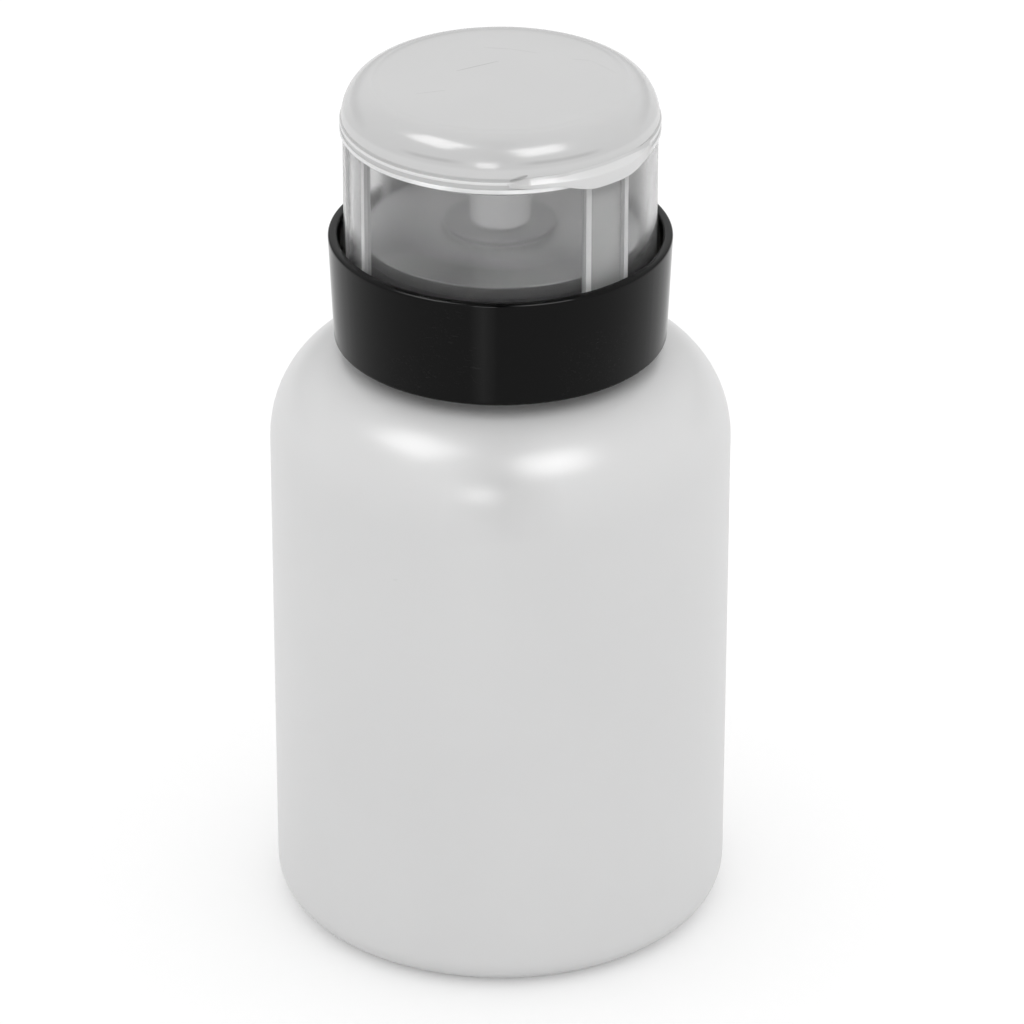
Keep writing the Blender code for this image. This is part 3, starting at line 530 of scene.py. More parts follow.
def build_skin() -> None:
    """Cloudy tone and fine grain of a moulded surface."""
    tree, entry, leave = new_group(Group.SKIN, ("Cloud", "Grain"), Cloud_Scale=60.0, Grain_Scale=3000.0)
    broad = tree.noise(entry["Vector"], entry["Cloud Scale"], detail=3.0, distortion=0.4)
    tree.feed(leave["Cloud"], tree.between(broad, low=0.3, high=0.7))
    tree.feed(leave["Grain"], tree.noise(entry["Vector"], entry["Grain Scale"]))


def build_turning() -> None:
    """Fine rings round the axis, left by the turned mould."""
    tree, entry, leave = new_group(Group.TURNING, ("Rings",), Ring_Scale=4000.0)
    radius = tree.radius(entry["Vector"])
    height = tree.along(entry["Vector"], (0.0, 0.0, 1.0))
    section = tree.filled(tree.node("CombineXYZ"), {"X": radius, "Y": height})
    tree.feed(leave["Rings"], tree.noise(section, entry["Ring Scale"], detail=1.0))


def build_hairlines() -> None:
    """Sparse fine scratches in two directions."""
    tree, entry, leave = new_group(Group.HAIRLINES, ("Mask",), Scale=60.0, Amount=0.5)
    masks = []
    for turn, stretch in HAIR_SETS:
        turns, scales = (*HAIR_LEAN, turn), (1.0, stretch, stretch)
        values = {"Vector": entry["Vector"], "Rotation": turns, "Scale": scales}
        placed = tree.filled(tree.node("Mapping", vector_type="POINT"), values)
        masks.append(tree.between(tree.noise(placed, entry["Scale"]), low=0.66, high=0.70))
    both = tree.math("MAXIMUM", masks[0], masks[1])
    broken = tree.between(tree.noise(entry["Vector"], entry["Scale"]), low=0.48, high=0.62)
    tree.feed(leave["Mask"], tree.times(tree.times(both, broken), entry["Amount"]))


def build_dust() -> None:
    """Dust specks that settle on surfaces facing up."""
    tree, entry, leave = new_group(Group.DUST, ("Mask",), Scale=900.0, Amount=0.3)
    up = tree.along(tree.node("NewGeometry").outputs["Normal"], (0.0, 0.0, 1.0))
    facing = tree.between(up, low=0.2, high=0.95)
    specks = tree.between(tree.noise(entry["Vector"], entry["Scale"]), low=0.62, high=0.74)
    tree.feed(leave["Mask"], tree.times(tree.times(facing, specks), entry["Amount"]))


def build_scratch_and_shade_line() -> None:
    """One straight line between two points, which tapers off at both ends. It draws scratches and painted
    shade lines.
    """
    tree, entry, leave = new_group(Group.SCORE, ("Mask",), Start=None, End=None, Width=0.0001)
    line = tree.vector("SUBTRACT", entry["End"], entry["Start"])
    offset = tree.vector("SUBTRACT", entry["Vector"], entry["Start"])
    share = tree.math("DIVIDE", tree.along(offset, line), tree.along(line, line), clamp=True)
    nearest = tree.filled(tree.node("VectorMath", operation="SCALE"), {0: line, "Scale": share})
    away = tree.vector("DISTANCE", offset, nearest, out="Value")
    middle = tree.times(tree.times(tree.left(share), share), 4.0)  # 1 halfway and 0 at the ends
    width = tree.times(entry["Width"], tree.math("POWER", middle, LINE_TAPER))
    ratio = tree.math("DIVIDE", away, tree.math("ADD", width, WELD))
    tree.feed(leave["Mask"], tree.math("SUBTRACT", 1.0, ratio, clamp=True))


def build_patch() -> None:
    """A part of the surface between two heights, beyond a radius and round an azimuth."""
    tree, entry, leave = new_group(
        Group.PATCH, ("Mask",), Low=0.0, High=1.0, Inner=0.0, Azimuth=0.0, Half_Width=HALF_TURN,
        Edge=0.0001, Fade=2.0,
    )
    across, depth, height = tree.parts(entry["Vector"])
    turn = tree.math("DEGREES", tree.math("ARCTAN2", across, tree.times(depth, -1.0)))
    away = tree.math("WRAP", tree.math("SUBTRACT", turn, entry["Azimuth"]), HALF_TURN, -HALF_TURN)
    mask = None
    for more, less, edge in (
        (height, entry["Low"], "Edge"),
        (entry["High"], height, "Edge"),
        (tree.radius(entry["Vector"]), entry["Inner"], "Edge"),
        (entry["Half Width"], tree.math("ABSOLUTE", away), "Fade"),
    ):
        share = tree.math("DIVIDE", tree.math("SUBTRACT", more, less), entry[edge], clamp=True)
        mask = share if mask is None else tree.times(mask, share)
    tree.feed(leave["Mask"], mask)


BUILDERS = {
    Group.SKIN: build_skin,
    Group.TURNING: build_turning,
    Group.HAIRLINES: build_hairlines,
    Group.DUST: build_dust,
    Group.SCORE: build_scratch_and_shade_line,
    Group.PATCH: build_patch,
}


def shared_group(which: Group) -> bpy.types.NodeTree:
    """Find a shared node group, or build it when it is first asked for.

    Args:
        which: the group.

    Returns:
        Its node tree.
    """
    if which.value not in bpy.data.node_groups:
        BUILDERS[which]()
    return bpy.data.node_groups[which.value]


# Finishes


def grey(value: float) -> Grey:
    """Return an even grey."""
    return value, value, value


def shade(colour: Grey, share: float = 1.0) -> tuple[float, ...]:
    """Return a colour darkened to a share of itself, with its alpha."""
    return *(part * share for part in colour), 1.0


def new_material(name: str) -> tuple[bpy.types.Material, Tree, Node, Socket]:
    """Start a material.

    Args:
        name: its name.

    Returns:
        The material, its tree, its shader and the socket that gives the place on the piece.
    """
    made = bpy.data.materials.new(name)
    made.use_nodes = True
    tree = Tree(made.node_tree)
    return made, tree, made.node_tree.nodes["Principled BSDF"], tree.node("TexCoord").outputs["Object"]


@dataclass(frozen=True)
class ScratchAndShadeLine:
    """One visible line on a surface. It draws real scratches, and also painted shadow and shade lines."""

    start: Corner
    end: Corner
    width: float
    depth: float = 0.5

    def mask(self, tree: Tree, place: Socket) -> Socket:
        """Return the line's mask at a place."""
        mark = tree.group(Group.SCORE, Vector=place, Start=self.start, End=self.end, Width=self.width)
        return tree.times(mark["Mask"], self.depth)


@dataclass(frozen=True)
class Patch:
    """A part of a surface with a tone of its own. Most are painted light and shade, such as the painted
    highlights on the lid's bead and the painted shade on the dish; the bead's ridges are also paler for their
    thicker plastic.
    """

    tone: float
    low: float
    high: float
    inner: float
    azimuth: float = 0.0
    half_width: float = HALF_TURN
    fade: float = 2.0
    edge: float = 0.00008

    def mask(self, tree: Tree, place: Socket) -> Socket:
        """Return the patch's mask at a place."""
        sizes = {name.title(): value for name, value in asdict(self).items() if name != "tone"}
        return tree.group(Group.PATCH, Vector=place, **sizes)["Mask"]


@dataclass(frozen=True)
class Sources:
    """What a moulded finish is mixed from."""

    place: Socket
    cloud: Socket
    grain: Socket
    hair: Socket
    dust: Socket


@dataclass(frozen=True)
class Moulding:
    """Finish of a moulded plastic."""

    name: str
    colour: Grey
    cloud_tone: float = 0.96  # how dark the darkest clouds are
    cloud_scale: float = 60.0
    roughness: float = 0.35
    roughness_spread: float = 0.05
    grain_scale: float = 3000.0
    grain_height: float = 0.000004
    ring_height: float = 0.0
    ring_scale: float = 4000.0
    scratches: float = 0.3
    scratch_scale: float = 60.0
    scratch_paleness: float = 0.25
    scratch_strength: float = 0.5
    scratch_roughness: float = 0.25
    dust: float = 0.15
    dust_tone: float = 0.55
    dust_scale: float = 900.0
    dust_roughness: float = 0.5
    specular: float = 0.5
    ior: float = 1.5
    subsurface: float = 0.0
    subsurface_reach: float = 0.003
    subsurface_radius: Corner = (1.0, 0.95, 0.9)
    transmission: float = 0.0
    scores: tuple[ScratchAndShadeLine, ...] = ()
    score_tone: float = 0.55
    patches: tuple[Patch, ...] = ()

    def build(self) -> bpy.types.Material:
        """Make the material with its nodes.

        Returns:
            The material.
        """
        made, tree, shader, place = new_material(self.name)
        scales = {"Cloud_Scale": self.cloud_scale, "Grain_Scale": self.grain_scale}
        skin = tree.group(Group.SKIN, Vector=place, **scales)
        hair = tree.group(Group.HAIRLINES, Vector=place, Scale=self.scratch_scale, Amount=self.scratches)
        dust = tree.group(Group.DUST, Vector=place, Scale=self.dust_scale, Amount=self.dust)
        source = Sources(place, skin["Cloud"], skin["Grain"], hair["Mask"], dust["Mask"])
        tree.filled(
            shader,
            {
                "Base Color": self.tone(tree, source),
                "Roughness": self.matt(tree, source),
                "Normal": self.relief(tree, source),
                "Metallic": 0.0,
                "IOR": self.ior,
                "Specular IOR Level": self.specular,
                "Subsurface Weight": self.subsurface,
                "Subsurface Radius": self.subsurface_radius,
                "Subsurface Scale": self.subsurface_reach,
                "Transmission Weight": self.transmission,
            },
        )
        return made

    def tone(self, tree: Tree, source: Sources) -> Socket:
        """Mix the colour from clouds, patches, scratches, painted shade lines and dust. Most patches are
        painted light and shade.

        Args:
            tree: the material's tree.
            source: the masks.

        Returns:
            The colour.
        """
        colour = tree.blend(source.cloud, shade(self.colour, self.cloud_tone), shade(self.colour))
        for patch in self.patches:
            colour = tree.blend(patch.mask(tree, source.place), colour, shade(grey(patch.tone)))
        pale = shade(tuple(part + (1 - part) * self.scratch_paleness for part in self.colour))
        colour = tree.blend(tree.times(source.hair, self.scratch_strength), colour, pale)
        # scratches and painted shade lines, darker than the colour
        marks = None
        for line_mark in self.scores:
            mask = line_mark.mask(tree, source.place)
            marks = mask if marks is None else tree.math("MAXIMUM", marks, mask)
        if marks is not None:
            colour = tree.blend(marks, colour, shade(self.colour, self.score_tone))
        return tree.blend(source.dust, colour, shade(grey(self.dust_tone)))

    def matt(self, tree: Tree, source: Sources) -> Socket:
        """Add up the roughness of clouds, scratches and dust.

        Args:
            tree: the material's tree.
            source: the masks.

        Returns:
            The roughness.
        """
        rough = tree.math("ADD", tree.times(source.cloud, self.roughness_spread), self.roughness)
        rough = tree.math("ADD", rough, tree.times(source.hair, self.scratch_roughness))
        return tree.math("ADD", rough, tree.times(source.dust, self.dust_roughness), clamp=True)

    def relief(self, tree: Tree, source: Sources) -> Socket:
        """Raise grain and rings, and cut in the scratches.

        Args:
            tree: the material's tree.
            source: the masks.

        Returns:
            The normal.
        """
        height = tree.times(source.grain, self.grain_height)
        if self.ring_height:
            rings = tree.group(Group.TURNING, Vector=source.place, Ring_Scale=self.ring_scale)
            height = tree.math("ADD", height, tree.times(rings["Rings"], self.ring_height))
        height = tree.math("SUBTRACT", height, tree.times(source.hair, self.grain_height))
        return tree.filled(tree.node("Bump"), {"Strength": 1.0, "Distance": 1.0, "Height": height}, "Normal")


@dataclass(frozen=True)
class Metal:
    """Finish of drawn or ground steel."""

    name: str
    colour: Grey
    roughness: float
    line_scale: float
    roughness_spread: float = 0.15
    line_height: float = 0.000002
    cloud_tone: float = 0.8
    cloud_scale: float = 300.0

    def build(self) -> bpy.types.Material:
        """Make the material with its nodes.

        Returns:
            The material.
        """
        made, tree, shader, place = new_material(self.name)
        cloud = tree.group(Group.SKIN, Vector=place, Cloud_Scale=self.cloud_scale)["Cloud"]
        lines = tree.group(Group.TURNING, Vector=place, Ring_Scale=self.line_scale)["Rings"]
        height = tree.times(lines, self.line_height)
        tree.filled(
            shader,
            {
                "Base Color": tree.blend(cloud, shade(self.colour, self.cloud_tone), shade(self.colour)),
                "Roughness": tree.math("ADD", tree.times(lines, self.roughness_spread), self.roughness),
                "Normal": tree.filled(tree.node("Bump"), {"Distance": 1.0, "Height": height}, "Normal"),
                "Metallic": 1.0,
            },
        )
        return made


# heights and least radius of the lid bead's lower ridge
LOWER_RIDGE = (0.1177, 0.11846, 0.0217)
# heights and least radius of the painted dark bands under the lid's highlights
PAINTED_SHADE_UNDER_GLOSS = (0.12155, 0.12225, 0.0200)


class Finish(Enum):
    """The finishes of the bottle's pieces."""

    MILKY_BODY = Moulding(
        "milky_polyethylene", grey(0.695), cloud_tone=0.985, cloud_scale=35.0, roughness=0.285,
        roughness_spread=0.03, grain_scale=2600.0, scratches=0.05, dust=0.03, dust_tone=0.6,
        subsurface=0.25, subsurface_reach=0.002,
        # painted reflection: a darker soft spot on the shoulder's front, where the dark gap between the lamps
        # is mirrored
        patches=(Patch(0.60, 0.0705, 0.0860, 0.0190, azimuth=1.0, half_width=15.0, fade=14.5, edge=0.007),),
        scores=(ScratchAndShadeLine((-0.0146, -0.0285, 0.0635), (-0.0139, -0.0288, 0.0637), 0.00025, 0.12),),
    )
    BLACK_COLLAR = Moulding(
        "polished_black", grey(0.002), cloud_tone=0.8, roughness=0.07, roughness_spread=0.03, ior=1.22,
        grain_scale=1500.0, grain_height=0.000001, scratches=0.06, dust=0.02, dust_tone=0.1,
    )
    BLACK_CAP = Moulding(
        "black_polypropylene", grey(0.006), cloud_tone=0.8, roughness=0.4, ring_height=0.000002,
        scratches=0.05, dust=0.02, dust_tone=0.15, specular=0.2,
    )
    CLEAR_GUARD = Moulding(
        "clear_styrene", grey(0.79), cloud_tone=0.97, roughness=0.16, roughness_spread=0.03, ior=1.2,
        grain_scale=900.0, grain_height=0.0000003, scratches=0.0, dust=0.0, transmission=0.94,
    )
    FROSTED = Moulding(
        "frosted_styrene", grey(0.79), cloud_tone=0.97, roughness=0.1, ior=1.05,
        grain_height=0.000001, scratches=0.0, dust=0.0, transmission=0.52,
    )
    WHITE_RIB = Moulding(
        "milky_styrene", grey(0.66), cloud_tone=0.97, roughness=0.3, grain_height=0.000002,
        scratches=0.0, dust=0.0,
    )
    MILKY_LID = Moulding(
        "milky_polypropylene", grey(0.58), cloud_tone=0.98, roughness=0.16, roughness_spread=0.04,
        specular=0.41, grain_scale=1200.0, grain_height=0.000002, scratches=0.05, dust=0.02,
        subsurface=0.25, subsurface_reach=0.001,
        scores=(
            ScratchAndShadeLine((-0.00601, 0.00189, 0.12527), (-0.00019, 0.00524, 0.12528), 0.00014, 0.7),
            ScratchAndShadeLine((-0.01146, -0.00554, 0.12517), (-0.00717, -0.00440, 0.12525), 0.00012, 0.35),
            # painted shade: the plug ring seen through the lid's back, drawn as faint lines on the crown
            ScratchAndShadeLine((-0.00224, 0.00997, 0.12522), (0.00144, 0.00943, 0.12523), 0.00025, 0.22),
            ScratchAndShadeLine((0.00144, 0.00943, 0.12523), (0.00511, 0.00807, 0.12523), 0.00025, 0.15),
            ScratchAndShadeLine((0.00972, 0.00611, 0.12520), (0.01229, 0.00572, 0.12515), 0.00025, 0.15),
            ScratchAndShadeLine((0.01229, 0.00572, 0.12515), (0.01575, 0.00155, 0.12505), 0.00030, 0.10),
            # painted shadow: the dark slash in the crease at the finger lip's blunt end
            ScratchAndShadeLine((0.00120, -0.02155, 0.11965), (0.00360, -0.02126, 0.12035), 0.00034, 1.0),
        ),
        patches=(
            # lower ridge lighter all round: partly its thicker plastic, partly painted highlight
            Patch(0.77, *LOWER_RIDGE, azimuth=-133.0, half_width=163.0, fade=8.0),
            # painted highlights of the lamps on the lower ridge
            Patch(0.98, *LOWER_RIDGE, azimuth=-25.0, half_width=10.0, fade=7.0),
            Patch(1.00, *LOWER_RIDGE, azimuth=12.0, half_width=13.0, fade=7.0),
            # upper ridge lighter: partly its thicker plastic, partly painted highlight
            Patch(0.74, 0.11895, 0.1197, 0.0217, azimuth=-145.0, half_width=149.0),
            # painted light: the finger lip's face lighter than the dome, as where it faces the light
            Patch(0.70, 0.1170, 0.1206, 0.02187, azimuth=38.0, half_width=32.0, fade=14.0),
            # painted light: a paler band on the dome's steep lower round, just above the bead
            Patch(0.63, 0.1198, 0.1214, 0.0200, edge=0.0004),
            # painted shade: darker bands under the lamps' highlights on the dome's round
            Patch(0.48, *PAINTED_SHADE_UNDER_GLOSS, azimuth=-26.0, half_width=14.0, fade=8.0, edge=0.0003),
            Patch(0.48, *PAINTED_SHADE_UNDER_GLOSS, azimuth=23.0, half_width=18.0, fade=8.0, edge=0.0003),
        ),
    )
    GREY_DISH = Moulding(
        "grey_polypropylene", grey(0.72), cloud_tone=0.97, roughness=0.28, ring_height=0.000001,
        grain_height=0.000002, scratches=0.05, dust=0.03, dust_tone=0.4,
        patches=(
            # painted shade: from its light back, the dish grows much darker towards the front and the left
            Patch(0.13, 0.0900, 0.1200, 0.0060, azimuth=-20.0, half_width=112.0, fade=110.0, edge=0.008),
            # the hub's top gets one even tone of its own, over the painted front shade
            Patch(0.53, 0.1042, 0.1050, 0.0, edge=0.00004),
            # painted shade on the hub's undercut side
            Patch(0.27, 0.1034, 0.10435, 0.0070, edge=0.00004),
            # painted shade: the dish's outer side nearly black
            Patch(0.02, 0.1000, 0.1029, 0.0187, edge=0.0001),
        ),
    )
    NOZZLE = Moulding(
        "translucent_polypropylene", grey(0.98), cloud_tone=0.98, roughness=0.3,
        subsurface=0.1, subsurface_reach=0.001, scratches=0.05, dust=0.02,
    )
    SEAL = Moulding("soft_rubber", grey(0.3), cloud_tone=0.9, roughness=0.65, grain_height=0.000008)
    NATURAL = Moulding("natural_pump_plastic", grey(0.75), cloud_tone=0.95, roughness=0.4, subsurface=0.1)
    GREY_PUMP = Moulding("grey_pump_plastic", grey(0.42), cloud_tone=0.93, roughness=0.42)
    WHITE_PUMP = Moulding("white_pump_plastic", grey(0.8), cloud_tone=0.97, roughness=0.36)
    STEEL = Metal("drawn_steel", grey(0.62), roughness=0.2, line_scale=9000.0)

    def material(self) -> bpy.types.Material:
        """Return the finish's material, built when it is first asked for."""
        return bpy.data.materials.get(self.value.name) or self.value.build()


def wear(item: Item, material: bpy.types.Material) -> None:
    """Give an object one material in place of any that it has."""
    item.data.materials.clear()
    item.data.materials.append(material)


def dress(item: Item, finish: Finish, body: str, slot: str, node: str) -> None:
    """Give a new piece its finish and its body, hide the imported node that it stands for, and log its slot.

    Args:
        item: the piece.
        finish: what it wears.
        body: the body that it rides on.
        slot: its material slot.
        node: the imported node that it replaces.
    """
    wear(item, finish.material())
    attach(item, body)
    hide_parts(node)
    LOG.info("%s rides on %s as %s", item.name, body, slot)


# Sub-assemblies


@dataclass
class Bottle:
    """Blow-moulded milky bottle with a threaded neck."""

    radius: float = 0.0320
    wall: float = 0.0012
    base_corner: float = 0.0048
    foot_land: float = 0.0030
    foot_slope: float = 0.0018
    push_up: float = 0.0015
    push_flat: float = 0.6  # share of the pushed-up base with a line of points
    side_height: float = 0.0714
    shoulder_top: float = 0.0852
    shoulder_start: float = 0.01965  # radius where the shoulder begins
    neck_radius: float = 0.0176
    neck_bore: float = 0.0152
    neck_fillet: float = 0.0008
    mouth: float = 0.0925
    mouth_edge: float = 0.0004
    thread_start: float = 0.0873
    thread_pitch: float = 0.0030
    thread_turns: float = 1.25
    thread_depth: float = 0.00105
    thread_root: float = 0.00135
    thread_flank: float = 0.00045
    thread_runout: float = 0.06
    segments: int = 160

    def thread_swell(self, azimuth: float, radius: float, height: float) -> float:
        """Give how far the neck's thread stands out at a place.

        Args:
            azimuth: azimuth of the place.
            radius: its distance from the axis on the plain neck.
            height: its height.

        Returns:
            What is added to the radius.
        """
        below = height < self.thread_start - self.thread_pitch
        if below or not self.neck_bore + self.wall <= radius <= self.neck_radius + WELD:
            return 0.0
        base = (azimuth - SIDE) % FULL_TURN / FULL_TURN
        most = 0.0
        for lap in range(int(self.thread_turns) + 1):
            turn = base + lap
            if turn > self.thread_turns:
                continue
            middle = self.thread_start + self.thread_pitch * turn
            ends = min(1.0, turn / self.thread_runout, (self.thread_turns - turn) / self.thread_runout)
            ridge = bump_at(height, middle, self.thread_root / 2, self.thread_flank)
            most = max(most, ridge * ends * self.thread_depth)
        return most

    def profile(self) -> list[Point]:
        """Give the profile, from the inside of the floor to its underside.

        Returns:
            The points, the first and the last of them on the axis.
        """
        corner = (self.radius - self.base_corner, self.base_corner)
        foot = corner[0] - self.foot_land
        push = foot - self.foot_slope
        flat = push * self.push_flat
        floor = self.push_up + self.wall
        rim = self.mouth - self.mouth_edge
        shoulder = (self.shoulder_start, self.side_height)
        wide, high = self.radius - self.shoulder_start, self.shoulder_top - self.side_height
        fillet = (self.neck_radius + self.neck_fillet, self.shoulder_top + self.neck_fillet)
        return [
            (0.0, floor), (flat, floor), (push - HOLD, floor), (push, floor), (foot, self.wall),
            *arc(corner, self.base_corner - self.wall, -90, 0, steps=6),
            *arc(shoulder, (wide - self.wall, high - self.wall), 0, 90, steps=14),
            (self.neck_bore, self.shoulder_top - self.wall),
            *arc((self.neck_bore + self.mouth_edge, rim), self.mouth_edge, 180, 90, steps=4),
            *arc((self.neck_radius - self.mouth_edge, rim), self.mouth_edge, 90, 0, steps=4),
            *run((self.neck_radius, rim), (self.neck_radius, fillet[1]), steps=44),
            *arc(fillet, self.neck_fillet, 180, 270, steps=5),
            *arc(shoulder, (wide, high), 90, 0, steps=28),
            *run((self.radius, self.side_height), (self.radius, self.base_corner), steps=12),
            *arc(corner, self.base_corner, 0, -90, steps=12),
            (foot, 0.0), (push, self.push_up), (push - HOLD, self.push_up),
            (flat, self.push_up), (0.0, self.push_up),
        ]

    def build(self) -> None:
        """Make and dress the bottle."""
        ring = azimuths(self.segments)
        item = turned("bottle_shell", self.profile(), ring, closed=False, swell=self.thread_swell)
        dress(item, Finish.MILKY_BODY, "bottle", "milky_bottle", "bottle")


@dataclass
class Closure:
    """Polished collar of the threaded cap, with grip ribs inside."""

    radius: float = 0.02363
    taper: float = 0.00068
    wall: float = 0.00136
    bottom: float = 0.0870
    rim: float = 0.1024
    rim_edge: float = 0.00045
    foot_edge: float = 0.0002
    skirt_radius: float = 0.0203
    rib_count: int = 12
    rib_reach: float = 0.0003  # how far the ribs stay off the skirt
    rib_half: float = 1.5  # degrees, like the lines of points on each rib's side
    rib_lines: tuple[float, ...] = (1.0, 1.25, 1.5)
    rib_flank: float = 0.5
    rib_top: float = 0.0951
    rib_bottom: float = 0.0888
    rib_end: float = 0.0003  # length of the slope at a rib's end
    rib_rows: int = 12
    segments: int = 180

    def rib_swell(self, azimuth: float, radius: float, height: float) -> float:
        """Give how far the grip ribs stand in from the collar's wall.

        Args:
            azimuth: azimuth of the place.
            radius: its distance from the axis on the plain wall.
            height: its height.

        Returns:
            What is added to the radius, which is below 0 on a rib.
        """
        outer = self.radius - self.wall + WELD
        if radius > outer or not self.rib_bottom - WELD < height < self.rib_top + WELD:
            return 0.0
        step = FULL_TURN / self.rib_count
        away = abs(azimuth - round(azimuth / step) * step)
        middle, half = (self.rib_top + self.rib_bottom) / 2, (self.rib_top - self.rib_bottom) / 2
        ends = bump_at(height, middle, half, self.rib_end)
        inward = radius - self.skirt_radius - self.rib_reach
        return -inward * bump_at(away, 0.0, self.rib_half, self.rib_flank) * ends

    def profile(self) -> list[Point]:
        """Give the collar's section, with a run of points where the ribs are.

        Returns:
            The points, from the rim over the outside to the inside.
        """
        inner, foot = self.radius - self.wall, self.radius - self.taper
        corners = [
            (inner, self.rim, self.rim_edge),
            (self.radius, self.rim, self.rim_edge),
            (foot, self.bottom, self.rim_edge),
            (foot - self.wall, self.bottom, self.foot_edge),
        ]
        slope = self.taper / (self.rim - self.bottom)
        rise = self.rib_top - self.rib_bottom
        heights = [self.rib_bottom + rise * row / self.rib_rows for row in range(self.rib_rows + 1)]
        wall = [(inner - slope * (self.rim - height), height) for height in heights]
        return rounded(corners, steps=6) + wall

    def build(self) -> None:
        """Make and dress the collar."""
        middles = [FULL_TURN / self.rib_count * index for index in range(self.rib_count)]
        extra = [middle + sign * line for middle in middles for sign in (-1, 1) for line in self.rib_lines]
        item = turned("collar", self.profile(), azimuths(self.segments, extra), swell=self.rib_swell)
        dress(item, Finish.BLACK_COLLAR, "collar", "glossy_black", "collar_shell")


@dataclass
class Hinge:
    """Place and sizes of the lid's hinge."""

    azimuth: float = 206.0
    radius: float = 0.02323
    height: float = 0.1180
    knuckle_radius: float = 0.00115
    knuckle_width: float = 0.0064
    knuckle_edge: float = 0.00015
    ear_thickness: float = 0.0012
    ear_drop: float = 0.0038
    ear_edge: float = 0.00012
    pin_radius: float = 0.00055
    pin_gap: float = 0.00015
    pin_inset: float = 0.0002  # how far the pins end inside the ears
    gap: float = 0.0003
    pad_rise: float = 0.0036
    pad_slope: float = 0.0002
    segments: int = 28

    def plane(self, along: float = 0.0) -> Matrix:
        """Return a matrix that stands (outwards, up) outlines in the hinge's plane."""
        stand = Matrix.Rotation(math.radians(90.0), 4, "X")
        return radial_frame(self.azimuth) @ Matrix.Translation((0.0, along, 0.0)) @ stand

    def arc(self, start: float, end: float) -> list[Point]:
        """Return an arc round the axis, as (outwards, up) points."""
        return arc((self.radius, self.height), self.knuckle_radius, start, end, steps=14)

    def rod(self, name: str, radius: float, length: float) -> Item:
        """Make a round rod along the hinge's axis.

        Args:
            name: name of the new object.
            radius: radius of the rod.
            length: its length.

        Returns:
            The new object.
        """
        shape = bmesh.new()
        bmesh.ops.create_cone(
            shape, cap_ends=True, segments=self.segments, radius1=radius, radius2=radius, depth=length
        )
        lay = Matrix.Rotation(math.radians(90.0), 4, "X")
        shape.transform(radial_frame(self.azimuth, self.radius, self.height) @ lay)
        return from_bmesh(name, shape)


@dataclass
class Guard:
    """Clear round guard with slim inner ribs and the hinge's ears."""

    radius: float = 0.02143
    wall: float = 0.0013
    bottom: float = 0.0971
    top: float = 0.1180
    foot_radius: float = 0.021736
    foot_height: float = 0.0010
    foot_edge: float = 0.0002
    snap_edge: float = 0.0001
    rim_edge: float = 0.0003
    rib_depth: float = 0.0004
    rib_half: float = 1.15  # degrees
    rib_inset: float = 0.0006
    rib_root: float = 0.0009  # how deep the milky ribs reach into the wall
    rib_steps: int = 3
    rib_azimuths: tuple[float, ...] = (34.0, 53.0, 100.0, 119.0, 214.0, 233.0, 280.0, 299.0)
    panel_depth: float = 0.0001
    panel_gap: float = 0.00002  # air between the wall and the frosted panels
    panel_steps: int = 16
    ear_arc: Point = (180.0, -45.0)  # where an ear's round end starts and ends
    hinge: Hinge = field(default_factory=Hinge)
    segments: int = 180

    def profile(self) -> list[Point]:
        """Give the guard's section.

        Returns:
            The points, from the rim over the outside and the snap foot to the inside.
        """
        inner = self.radius - self.wall
        corners = [
            (inner, self.top, self.rim_edge),
            (self.radius, self.top, self.rim_edge),
            (self.radius, self.bottom + self.foot_height, self.snap_edge),
            (self.foot_radius, self.bottom + self.foot_height / 2, self.snap_edge),
            (self.foot_radius, self.bottom, self.foot_edge),
            (inner, self.bottom, self.foot_edge),
        ]
        return rounded(corners, steps=4)

    def ears(self, item: Item) -> Item:
        """Join the hinge's two bored ears to the guard.

        Args:
            item: the guard.

        Returns:
            The guard with its ears.
        """
        hinge = self.hinge
        middle = self.radius - self.wall / 2
        ledge = hinge.height - hinge.ear_thickness / 2
        outline = [
            (middle, ledge),
            (hinge.radius - hinge.knuckle_radius, ledge),
            *hinge.arc(*self.ear_arc),
            (middle, hinge.height - hinge.ear_drop),
        ]
        along = hinge.knuckle_width / 2 + hinge.gap + hinge.ear_thickness / 2
        for sign in (-1, 1):
            ear = slab("ear", outline, hinge.ear_thickness, hinge.plane(sign * along), hinge.ear_edge)
            item = combined(item, ear, Join.ADD)
        bore = hinge.rod("bore", hinge.pin_radius + hinge.pin_gap, 2 * (along + hinge.ear_thickness))
        return combined(item, bore, Join.CUT)

    def bars(self, name: str, sectors: Sequence[Point], reach: Point, steps: int, finish: Finish) -> None:
        """Make and dress upright bars on the inner wall.

        Args:
            name: name of the piece that holds them all.
            sectors: middle azimuth and half width of each.
            reach: where they start and end, counted outwards from the inner wall.
            steps: number of parts along the ring.
            finish: their finish.
        """
        shape = bmesh.new()
        inner = self.radius - self.wall
        heights = (self.bottom + self.rib_inset, self.top - self.rib_inset)
        for sector in sectors:
            add_bar(shape, sector, (inner + reach[0], inner + reach[1]), heights, steps)
        dress(from_bmesh(name, shape), finish, "collar", "clear_guard", "guard_ring")

    def build(self) -> None:
        """Make and dress the guard, its ribs and the frosted panels between them."""
        ribs = self.rib_azimuths
        pairs = zip(ribs[::2], ribs[1::2])
        panels = [((low + high) / 2, (high - low) / 2 - self.rib_half) for low, high in pairs]
        lines = [(rib, self.rib_half) for rib in ribs]
        wall = (-self.rib_depth, self.rib_root)
        self.bars("guard_ribs", lines, wall, self.rib_steps, Finish.WHITE_RIB)
        skin = (-self.panel_depth - self.panel_gap, -self.panel_gap)
        self.bars("frosted_panels", panels, skin, self.panel_steps, Finish.FROSTED)
        item = self.ears(turned("clear_guard", self.profile(), azimuths(self.segments)))
        dress(item, Finish.CLEAR_GUARD, "collar", "clear_guard", "guard_ring")


